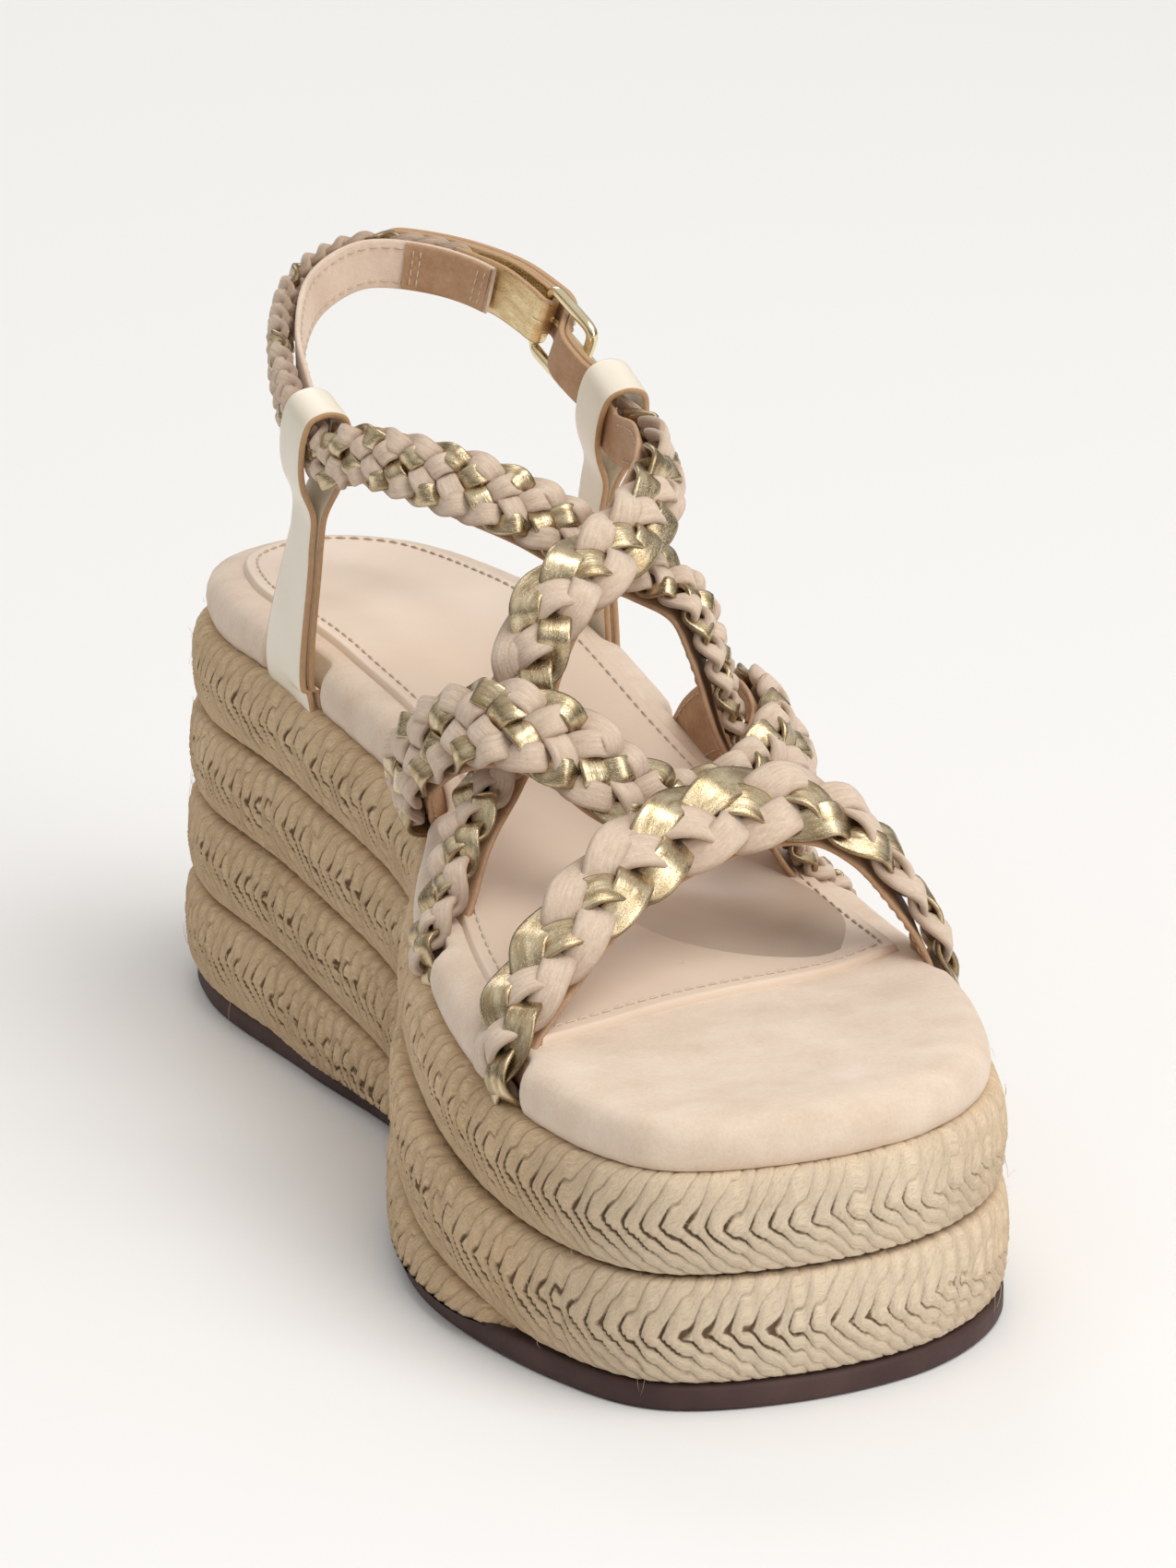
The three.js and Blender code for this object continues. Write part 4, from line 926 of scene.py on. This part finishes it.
def plait(name, route, strands, turn, fill, seed):
    """A flat plait. strands names each strand's finish: 0 suede, 1 gold. A strand swings
    across as the cosine of its phase, and rises and sinks as the sine of n - 1 times that
    phase, so it goes over one neighbour and under the next. turn is how many widths of the
    plait one full swing takes, and fill is the strands' widths added up, as a share of the
    plait's. Each strand carries painted shade along its edges and where it dips."""
    n = len(strands)
    path = strap_path(route, 80)
    phase_run = np.sum(2 * np.pi / (turn * path[4][1:]) * np.diff(path[5]))
    count = int(phase_run / (2 * np.pi) * 44) + 24
    path = strap_path(route, count)
    at, along, out, across, width, run = path
    base = np.concatenate([[0], np.cumsum(
        (2 * np.pi / (turn * width[1:])) * np.diff(run))])
    draw = np.random.default_rng(seed)
    points, faces, uvs, finishes, shades, rims = [], [], [], [], [], []
    sides = 14
    for k, finish in enumerate(strands):
        phase = base + 2 * np.pi * k / n
        wobble = sum(a * np.sin(base * f + p) for a, f, p in zip(
            draw.normal(0, 0.035, 3), (0.37, 0.61, 1.3), draw.uniform(0, 6, 3)))
        swing = np.cos(phase + wobble)
        strand_width = fill * width / n
        thickness = GOLD_THICKNESS if finish else SUEDE_THICKNESS
        half = (width - 0.86 * strand_width) / 2
        edge_ease = 1 - 0.3 * np.abs(swing) ** 6
        rise = PLAIT_RISE * np.sin((n - 1) * (phase + wobble)) * edge_ease
        line = at + across * (half * swing)[:, None] + out * rise[:, None]
        forward = unit(np.gradient(line, axis=0))
        facing = unit(out - forward * np.sum(out * forward, axis=1)[:, None])
        roll = 0.3 * swing ** 3 + SHINGLE * np.sin(phase + wobble)
        sideways = np.cross(forward, facing)
        facing = unit(facing + sideways * roll[:, None])
        swell = strand_width * (1 + 0.05 * np.sin(2 * base + k))
        strand = (line, forward, facing, np.cross(forward, facing), swell, run)
        section = rounded_section(sides, thickness, 4.5 if finish else 3.0)
        start = count * sides * k
        p, f, uv = strip(strand, section, start)
        # Painted shade: darker where the strand dips under its neighbours and along its edges, where it
        # meets them.
        dip = smoothstep(0.5 - rise / (2 * PLAIT_RISE))[:, None]
        edge = np.abs(2 * section[:, 0])[None, :] ** 6
        shades.append(np.clip(0.65 * edge + 0.55 * dip ** 2, 0, 1).ravel())
        points.append(p)
        faces.append(f)
        uvs.append(uv + [37.0 * k, 0])
        finishes += [finish] * len(f)
        rims += strip_ends(count, sides, start)
    for finish in strands:
        finishes += [finish] * 2
    return make_mesh(name, np.vstack(points), np.vstack(faces), np.vstack(uvs), finishes,
                     np.concatenate(shades), rims)


def backing(name, route, share=LINING_SHARE):
    """The lining strip behind a plait, with softly rounded edges."""
    path = list(strap_path(route, 160))
    path[4] = path[4] * share
    section = rounded_section(16, LINING_THICKNESS, 5)
    offset = -(BRAID_THICKNESS / 2 + LINING_GAP + LINING_THICKNESS / 2)
    points, faces, uv = strip(path, section, offset=offset)
    return make_mesh(name, points, faces, uv, rims=strip_ends(160, 16))


def backing_stitches(name, route, inset=1.5):
    """A row of stitches down each edge of the lining's free face."""
    at, along, out, across, width, run = strap_path(route, 240)
    deep = BRAID_THICKNESS / 2 + LINING_GAP + LINING_THICKNESS
    rows = []
    for side in (-1, 1):
        reach = (width * LINING_SHARE / 2 - inset) * side
        line = at + across * reach[:, None] - out * deep
        rows.append((line[14:-14], -out[14:-14]))
    pieces = [stitches(f"{name}_{i}", line, normal, 2.4, 0.17)
              for i, (line, normal) in enumerate(rows)]
    return join_pieces(name, pieces)


def join_pieces(name, pieces):
    """Makes one piece of several that have the same finish."""
    first = pieces[0]
    with bpy.context.temp_override(active_object=first, selected_editable_objects=pieces):
        bpy.ops.object.join()
    first.name = name
    first.data.name = name
    return first


def strand_suede():
    """Suede strands: brushed nap, painted shade where a strand dips and along its edges, and
    faint creases along them.
    """
    paint = Paint("plait_suede", Roughness=0.85, Specular_IOR_Level=0.25, Sheen_Weight=0.4,
                  Sheen_Roughness=0.45, Sheen_Tint=(1.0, 0.93, 0.88))
    place = paint.place()
    along = paint.along()
    nap = paint.noise(place, 1700, 5, 0.75)
    brushed = paint.noise(paint.stretch(along, (0.5, 1.5, 1)), 0.9, 4, 0.65)
    creases = paint.noise(paint.stretch(along, (0.25, 2.2, 1)), 1.0, 3, 0.6)
    tone = (0.55 * brushed + 0.35 * nap + 0.25 * creases).ramp(0.40, 0.76)
    colour = paint.mix(tone, (0.62, 0.455, 0.335), (0.86, 0.71, 0.57))
    # Painted shade, read from the mesh, darkens the suede toward deep brown in dips and along edges.
    shade = paint.shade()
    return paint.set(Base_Color=paint.mix(shade * 0.62, colour, (0.25, 0.145, 0.085)),
                     Normal=paint.bump(nap + brushed + 0.8 * creases, 0.6, 0.28))


def foil_paint(name, light=(0.83, 0.69, 0.46), dark=(0.42, 0.31, 0.17)):
    """Leather faced with pale gold foil: creased along the strand, finely cracked, and darkened
    with painted shade where a strand dips and along its edges.
    """
    paint = Paint(name, Metallic=0.92, Specular_IOR_Level=0.5)
    along = paint.along()
    creases = paint.noise(paint.stretch(along, (0.22, 0.55, 1)), 1.0, 3, 0.55)
    cells = paint.node("TexVoronoi", {"Vector": paint.stretch(along, (0.9, 1.7, 1)),
                                      "Scale": 1.3}, feature="DISTANCE_TO_EDGE")
    fine = paint.noise(along, 3.2, 4, 0.7)
    cracks = 1 - cells.ramp(0.0, 0.07)
    worn = cracks * fine.ramp(0.5, 0.62)
    tone = paint.mix(creases.ramp(0.35, 0.65), dark, light)
    # Painted shade, read from the mesh, darkens the foil where a strand dips and along its edges.
    shade = paint.shade()
    shaded = paint.mix(shade * 0.75, tone, (0.16, 0.10, 0.05))
    colour = paint.mix(worn * 0.6, shaded, (0.42, 0.32, 0.2))
    rough = 0.15 + 0.18 * fine + 0.25 * worn
    height = creases + 0.18 * fine - 0.25 * worn
    return paint.set(Base_Color=colour, Roughness=rough,
                     Normal=paint.bump(height, 0.45, 0.4))


def backing_paint():
    """Tan lining leather, flesh side trimmed, with a rubbed and slightly mottled face."""
    paint = Paint("tan_backing", Roughness=0.62, Specular_IOR_Level=0.4)
    place = paint.place()
    grain = paint.noise(place, 1100, 4, 0.7)
    mottle = paint.noise(place, 120, 3)
    tone = (0.6 * mottle + 0.4 * grain).ramp(0.35, 0.68)
    return paint.set(Base_Color=paint.mix(tone, (0.40, 0.225, 0.12), (0.60, 0.385, 0.235)),
                     Normal=paint.bump(grain, 0.4, 0.15))


suede_strand = strand_suede()
gold_strand = foil_paint("gold_foil")
tan = backing_paint()
tan_thread = thread_paint("tan_thread", (0.74, 0.58, 0.42))
# Each strap's strands, the widths one swing takes, and how full the plait is.
PLAITS = {"toe_strap": ((0, 0, 1, 1), 3.1, 1.75), "vamp_strap": ((0, 0, 1, 0, 1), 2.3, 1.6),
          "instep_strap_a": ((0, 0, 1, 1), 2.8, 1.75), "instep_strap_b": ((0, 1, 0, 0, 1), 2.3, 1.6)}
for number, (strap, (strands, turn, fill)) in enumerate(PLAITS.items()):
    finish_piece(plait(f"{strap}_plait", ROUTES[strap], strands, turn, fill, number),
                 "sandal", "braid", [suede_strand, gold_strand], f"{strap}_braid")
    finish_piece(backing(f"{strap}_backing", ROUTES[strap]), "sandal", "backing_leather",
                 [tan], f"{strap}_lining")
    finish_piece(backing_stitches(f"{strap}_stitches", ROUTES[strap]), "sandal",
                 "backing_leather", [tan_thread])

# ---------------------------------------------------------------- ankle tabs
# On each side a strip of smooth cream leather, with tan cut edges, comes up beside the
# footbed, narrows to a neck, wraps round the ankle strap and goes back down behind itself.
TAB_LEATHER = 1.4
TAB_LOOP = 10
TAB_NECK = 10
TAB_FOOT = 19
TAB_Y = 60
LOOP_HALF_HEIGHT = 7.2
LOOP_SIDE_ROOM = 0.4
EDGE_SHARE = 0.462  # past this share of the width, a strip's faces are its cut edge
CLEAR = 0.3


def tab_route(side, index):
    """A hairpin: up from the pocket, round the ankle strap as a rounded box, and down."""
    centre, out, up = RING[0][index], RING[2][index], RING[3][index]
    half = TAB_LEATHER / 2
    outer = BRAID_THICKNESS / 2 + LOOP_SIDE_ROOM + half
    inner = -(BRAID_THICKNESS / 2 + LINING_GAP + LINING_THICKNESS + LOOP_SIDE_ROOM + half)
    middle = (outer + inner) / 2
    top = LOOP_HALF_HEIGHT + half
    leg = half + CLEAR / 2

    def place(outward, upward, facing, width):
        at = centre + out * outward + up * upward
        return np.array([*at, *(out * facing[0] + up * facing[1]), width])

    foot = tail(side, TAB_Y, TAB_FOOT)
    rise = [np.array([*(row[:3] + row[3:6] * leg), *row[3:]]) for row in foot]
    fall = [np.array([*(row[:3] - row[3:6] * leg), *-row[3:6], row[6]]) for row in foot]
    return rise + [
        place(middle + leg, -top - 12, (1, 0), TAB_NECK),
        place(middle + leg + 0.3, -top - 5, (1, -0.1), TAB_NECK),
        place(outer * 0.75, -top * 0.92, (1, -0.35), TAB_LOOP),
        place(outer, -top * 0.4, (1, 0), TAB_LOOP), place(outer, top * 0.45, (1, 0), TAB_LOOP),
        place(outer - 1.1, top - 1.1, (0.75, 0.65), TAB_LOOP),
        place(outer - 3.4, top, (0, 1), TAB_LOOP), place(inner + 3.4, top, (0, 1), TAB_LOOP),
        place(inner + 1.1, top - 1.1, (-0.75, 0.65), TAB_LOOP),
        place(inner, top * 0.45, (-1, 0), TAB_LOOP), place(inner, -top * 0.4, (-1, 0), TAB_LOOP),
        place(inner * 0.8, -top * 0.92, (-1, -0.35), TAB_LOOP),
        place(middle - leg - 0.3, -top - 5, (-1, -0.1), TAB_NECK),
        place(middle - leg, -top - 12, (-1, 0), TAB_NECK),
    ] + fall[::-1]


def two_faced(name, path, thickness, sides=20, corner=7, offset=0.0):
    """A leather strip whose broad faces have finish 0 and whose cut edges have finish 1."""
    section = rounded_section(sides, thickness, corner)
    points, faces, uv = strip(path, section, offset=offset)
    count = len(path[0])
    share = np.abs((section[:, 0] + np.roll(section[:, 0], -1)) / 2)
    at_edge = (share > EDGE_SHARE).astype(int)
    finishes = np.concatenate([np.tile(at_edge, count - 1), [1, 1]])
    return make_mesh(name, points, faces, uv, finishes, rims=strip_ends(count, sides))


def cream_paint():
    """Smooth cream leather with a pearly gloss."""
    paint = Paint("cream_leather", Specular_IOR_Level=0.5, Coat_Weight=0.25,
                  Coat_Roughness=0.25)
    place = paint.place()
    grain = paint.node("TexVoronoi", {"Vector": place, "Scale": 1500.0})
    cloud = paint.noise(place, 60, 3)
    colour = paint.mix(cloud.ramp(0.3, 0.7), (0.85, 0.76, 0.61), (0.91, 0.84, 0.70))
    return paint.set(Base_Color=colour, Roughness=0.28 + 0.14 * cloud,
                     Normal=paint.bump(grain, 0.15, 0.07))


def edge_paint():
    """Cut leather edge, stained tan, with a fibrous streak along it."""
    paint = Paint("tan_edge", Roughness=0.55)
    streak = paint.noise(paint.stretch(paint.place(), (1, 1, 0.3)), 1800, 3)
    return paint.set(Base_Color=paint.mix(streak, (0.42, 0.24, 0.12), (0.62, 0.40, 0.22)),
                     Normal=paint.bump(streak, 0.4, 0.12))


cream = cream_paint()
cut_edge = edge_paint()
for name, side, index in [("medial", -1, 0), ("lateral", 1, -1)]:
    piece = two_faced(f"ankle_tab_{name}_leather", strap_path(tab_route(side, index), 420),
                      TAB_LEATHER)
    finish_piece(piece, "sandal", "cream_leather", [cream, cut_edge], f"ankle_tab_{name}")

# ---------------------------------------------------------------- heel strap
# The same plait as the front straps, running from the inner loop round the heel to the
# chape, on a pink suede lining with a short tan patch sewn on at its end. Its first few
# millimetres stay inside the loop when it tilts.
BAR_FROM_LOOP = 29
CHAPE_LENGTH = 21
CHAPE_LEATHER = 1.1
CHAPE_WIDTH = 10
BAR_RADIUS = 0.9
BUCKLE_LENGTH = 14
BUCKLE_HEIGHT = 16.4
BUCKLE_WIRE = 2.2
BAR_AT = RING_LENGTH - BAR_FROM_LOOP
BRAID_END = BAR_AT - CHAPE_LENGTH - 2 * CLEAR
LINING_END = BAR_AT - 11
PATCH_LENGTH = 20
PATCH_DEPTH = -0.5
PATCH_SHARE = 0.86


def patch_stitches():
    """A double row of stitches across each end of the patch."""
    deep = BRAID_THICKNESS / 2 + LINING_GAP + LINING_THICKNESS - PATCH_DEPTH
    rows = []
    for distance in (1.6, 3.2, PATCH_LENGTH - 3.2, PATCH_LENGTH - 1.6):
        row = on_ring(LINING_END - PATCH_LENGTH + distance, -deep, 1)
        ahead = on_ring(LINING_END - PATCH_LENGTH + distance + 1, -deep, 1)
        up = unit(np.cross(ahead[:3] - row[:3], row[3:6]))
        line = row[:3] + up * np.linspace(-1, 1, 12)[:, None] * (STRAP_HEIGHT * 0.36)
        rows.append(stitches(f"patch_{distance}", line, np.tile(-row[3:6], (12, 1)), 1.8, 0.16))
    return join_pieces("heel_strap_patch_stitches", rows)


pink_lining = suede_paint("pink_lining", (0.86, 0.71, 0.58), (0.70, 0.53, 0.41), 0.8)
heel_route = [on_ring(d, 0, STRAP_HEIGHT) for d in np.linspace(SPLIT, BRAID_END + 4, 24)]
heel_route[-1][6] = CHAPE_WIDTH * 0.8
finish_piece(plait("heel_strap_plait", heel_route, (0, 0, 0, 0, 1), 2.1, 1.65, 9),
             "heel_strap", "braid", [suede_strand, gold_strand], "heel_strap_braid")
lining_route = [on_ring(d, 0, STRAP_HEIGHT) for d in np.linspace(SPLIT, LINING_END, 24)]
finish_piece(backing("heel_strap_backing", lining_route), "heel_strap", "backing_leather",
             [pink_lining], "heel_strap_lining")
finish_piece(backing_stitches("heel_strap_stitches", lining_route), "heel_strap",
             "backing_leather", [tan_thread])
patch_route = [on_ring(d, PATCH_DEPTH, STRAP_HEIGHT)
               for d in np.linspace(LINING_END - PATCH_LENGTH, LINING_END - 0.4, 12)]
finish_piece(backing("heel_strap_patch", patch_route, PATCH_SHARE), "heel_strap",
             "backing_leather", [tan])
finish_piece(patch_stitches(), "heel_strap", "backing_leather", [tan_thread])

# ---------------------------------------------------------------- chape and buckle
# A fold of gold leather, sewn over the end of the plait, holds the buckle's hinge bar. The
# buckle is a cast rectangle with a flattened round wire, and its prong is a bent pin.
PRONG_WIRE = 1.2
CHAPE_STITCH_INSET = 1.4


def buckle_axes():
    """The hinge bar's place, and the buckle's forward, outward and upward directions."""
    bar = on_ring(BAR_AT, 0, 1)
    front = on_ring(BAR_AT + BUCKLE_LENGTH, 0, 1)
    forward = unit(front[:3] - bar[:3])
    out = unit(bar[3:6] - forward * np.dot(bar[3:6], forward))
    return bar[:3], forward, out, np.cross(out, forward)


BAR, FORWARD, OUTWARD, UPWARD = buckle_axes()


def on_buckle(forward, out, facing, width):
    """A row of a route, placed ahead of the hinge bar and outward of it."""
    at = BAR + FORWARD * forward + OUTWARD * out
    return np.array([*at, *(FORWARD * facing[0] + OUTWARD * facing[1]), width])


def round_bar(radius, first, last, width, step=-30):
    """Rows of a strip or wire that bends round the hinge bar from one angle to another."""
    angles = np.radians(np.arange(first, last + np.sign(step), step))
    return [on_buckle(radius * np.cos(a), radius * np.sin(a), (np.cos(a), np.sin(a)), width)
            for a in angles]


def chape():
    """Along the outside of the ring, round the hinge bar, and back along the inside."""
    bend = BAR_RADIUS + CLEAR + CHAPE_LEATHER / 2

    def row(distance, out, facing):
        place = on_ring(BAR_AT - distance, out, CHAPE_WIDTH)
        place[3:6] *= facing
        return place

    far = [CHAPE_LENGTH, CHAPE_LENGTH / 2, 3]
    route = ([row(d, bend, 1) for d in far] + round_bar(bend, 90, -90, CHAPE_WIDTH)
             + [row(d, -bend, -1) for d in far[::-1]])
    return two_faced("chape_leather", strap_path(route, 180), CHAPE_LEATHER)


def chape_stitches():
    """Two rows along the chape's edges and one across its end."""
    deep = BAR_RADIUS + CLEAR + CHAPE_LEATHER
    rows = []
    for side in (-1, 1):
        lane = [on_ring(BAR_AT - d, deep, 1) for d in np.linspace(4, CHAPE_LENGTH - 1.5, 40)]
        lane = np.array(lane)
        up = np.cross(np.gradient(lane[:, :3], axis=0), lane[:, 3:6])
        rows.append((lane[:, :3] + unit(up) * side * (CHAPE_WIDTH / 2 - CHAPE_STITCH_INSET), lane[:, 3:6]))
    end = np.array([on_ring(BAR_AT - CHAPE_LENGTH + 1.5, deep, 1)] * 12)
    up = unit(np.cross(FORWARD, end[0, 3:6]))
    across = np.linspace(-1, 1, 12)[:, None] * (CHAPE_WIDTH / 2 - CHAPE_STITCH_INSET)
    rows.append((end[:, :3] + up * across, end[:, 3:6]))
    return join_pieces("chape_stitches", [
        stitches(f"chape_stitch_{i}", line, normal, 1.9, 0.16)
        for i, (line, normal) in enumerate(rows)])


def buckle_frame():
    """A rounded rectangle of wire. Its shape is a superellipse of power 7 between the hinge
    bar and the front bar, evenly stepped."""
    angle = np.linspace(0, 2 * np.pi, 240, endpoint=False)
    half_length, half_height = BUCKLE_LENGTH / 2, (BUCKLE_HEIGHT - BUCKLE_WIRE) / 2
    power = 2 / 7
    f = half_length + half_length * np.sign(np.cos(angle)) * np.abs(np.cos(angle)) ** power
    u = half_height * np.sign(np.sin(angle)) * np.abs(np.sin(angle)) ** power
    plan = BAR + f[:, None] * FORWARD + u[:, None] * UPWARD
    looped = np.vstack([plan, plan[:1]])
    run = distance_run(looped)
    even = np.linspace(0, run[-1], 200, endpoint=False)
    plan = np.stack([np.interp(even, run, looped[:, k]) for k in range(3)], axis=1)
    near_bar = smoothstep((2.2 - (plan - BAR) @ FORWARD) / 2)
    wire = np.asarray(BUCKLE_WIRE - 0.5 * near_bar)
    count, sides = len(plan), 14
    forward = unit(np.roll(plan, -1, axis=0) - np.roll(plan, 1, axis=0))
    side = np.cross(forward, OUTWARD)
    section = rounded_section(sides, 1.0, 2.6)
    points = (plan[:, None] + side[:, None] * (section[None, :, :1] * wire[:, None, None])
              + OUTWARD * section[None, :, 1:] * (wire * 0.88)[:, None, None])
    faces = grid_faces(count, sides, close_rows=True, close_columns=True)[:, ::-1]
    return make_mesh("buckle_wire", points.reshape(-1, 3), faces)


def prong():
    """A pin that hooks round the hinge bar and rests on the front bar, its tip thinned."""
    wire = PRONG_WIRE
    radius = BAR_RADIUS + CLEAR + wire / 2
    rest = BUCKLE_WIRE / 2 + CLEAR + wire / 2
    route = round_bar(radius, -40, -250, wire) + [
        on_buckle(radius + 1, rest * 0.9, (0, 1), wire),
        on_buckle(BUCKLE_LENGTH / 2, rest, (0, 1), wire * 1.15),
        on_buckle(BUCKLE_LENGTH + 0.9, rest, (0, 1), wire * 1.05),
        on_buckle(BUCKLE_LENGTH + 1.4, rest, (0, 1), wire * 0.55)]
    points, faces, uv = strip(strap_path(route, 90), rounded_section(12, wire, 2.1))
    return make_mesh("prong_pin", points, faces, uv, rims=strip_ends(90, 12))


def metal_paint():
    """Polished pale gold plating with fine handling scratches."""
    paint = Paint("gold_plate", Metallic=1.0)
    place = paint.place()
    fine = paint.noise(place, 900, 4, 0.7)
    haze = paint.noise(place, 160, 2)
    return paint.set(
        Base_Color=paint.mix(haze.ramp(0.3, 0.7), (0.78, 0.66, 0.40), (0.90, 0.80, 0.55)),
        Roughness=0.12 + 0.14 * haze, Normal=paint.bump(fine, 0.06, 0.05))


gold_metal = metal_paint()
chape_gold = foil_paint("chape_foil", (0.86, 0.70, 0.42), (0.66, 0.49, 0.26))
finish_piece(chape(), "heel_strap", "gold_leather", [chape_gold, cut_edge], "buckle_chape")
finish_piece(chape_stitches(), "heel_strap", "gold_leather",
             [thread_paint("gold_thread", (0.75, 0.63, 0.40))])
finish_piece(buckle_frame(), "buckle", "gold_metal", [gold_metal], "buckle_frame")
finish_piece(prong(), "prong", "gold_metal", [gold_metal], "buckle_prong")

# ---------------------------------------------------------------- billet
# A suede strap with a leather lining, from the outer loop, under the buckle's front bar,
# up through the frame and back along the outside of the chape. Its free end is rounded.
BILLET_LEATHER = 1.4
BILLET_LINING = 0.9
BILLET_WIDTH = 9.6
BILLET_TAIL = 36
BILLET_STITCH_INSET = 1.3
STACK = BILLET_LEATHER + CLEAR + BILLET_LINING
UNDER = -(BUCKLE_WIRE / 2 + 2 * CLEAR + STACK / 2)
OVER = BAR_RADIUS + 2 * CLEAR + CHAPE_LEATHER + STACK / 2


def billet_route():
    """Rows measured ahead of the hinge bar; the climb through the frame is a smooth step."""
    rows = [(BAR_FROM_LOOP - SPLIT, -0.6), (24, -0.9), (BUCKLE_LENGTH + 5, UNDER + 0.6),
            (BUCKLE_LENGTH + 1, UNDER)]
    for ahead in (11, 9, 7, 5, 3, 1):
        rows.append((ahead, UNDER + (OVER - UNDER) * float(smoothstep((11 - ahead) / 10))))
    rows += [(-2, OVER), (-10, OVER), (-20, OVER), (-28, OVER + 0.9), (-BILLET_TAIL, OVER + 2.6)]
    return [on_ring(BAR_AT + ahead, out, BILLET_WIDTH) for ahead, out in rows]


def billet_layer(name, thickness, offset, shrink=0.0):
    """One layer of the billet, its free end rounded as half an ellipse."""
    path = list(strap_path(billet_route(), 260))
    left = path[5][-1] - path[5]
    path[4] = (path[4] - shrink) * np.sqrt(np.clip(1 - (1 - left / 6).clip(0, 1) ** 2.4, 0.004, 1))
    return two_faced(name, path, thickness, offset=offset)


def billet_stitches():
    """A row of stitches down each edge of the billet, stopping short of its ends."""
    at, along, out, across, width, run = strap_path(billet_route(), 400)
    lift = (BILLET_LINING + CLEAR) / 2 + BILLET_LEATHER / 2
    rows = []
    for side in (-1, 1):
        line = at + across * (side * (BILLET_WIDTH / 2 - BILLET_STITCH_INSET)) + out * lift
        rows.append((line[6:370], out[6:370]))
    return join_pieces("billet_stitches", [
        stitches(f"billet_stitch_{i}", line, normal, 2.1, 0.17)
        for i, (line, normal) in enumerate(rows)])


finish_piece(billet_layer("billet_suede", BILLET_LEATHER, (BILLET_LINING + CLEAR) / 2),
             "heel_strap", "suede", [suede_strand, cut_edge], "billet_strap")
finish_piece(billet_layer("billet_backing", BILLET_LINING + CLEAR, -BILLET_LEATHER / 2, 0.3),
             "heel_strap", "backing_leather", [tan, cut_edge], "billet_lining")
finish_piece(billet_stitches(), "heel_strap", "suede", [thread])
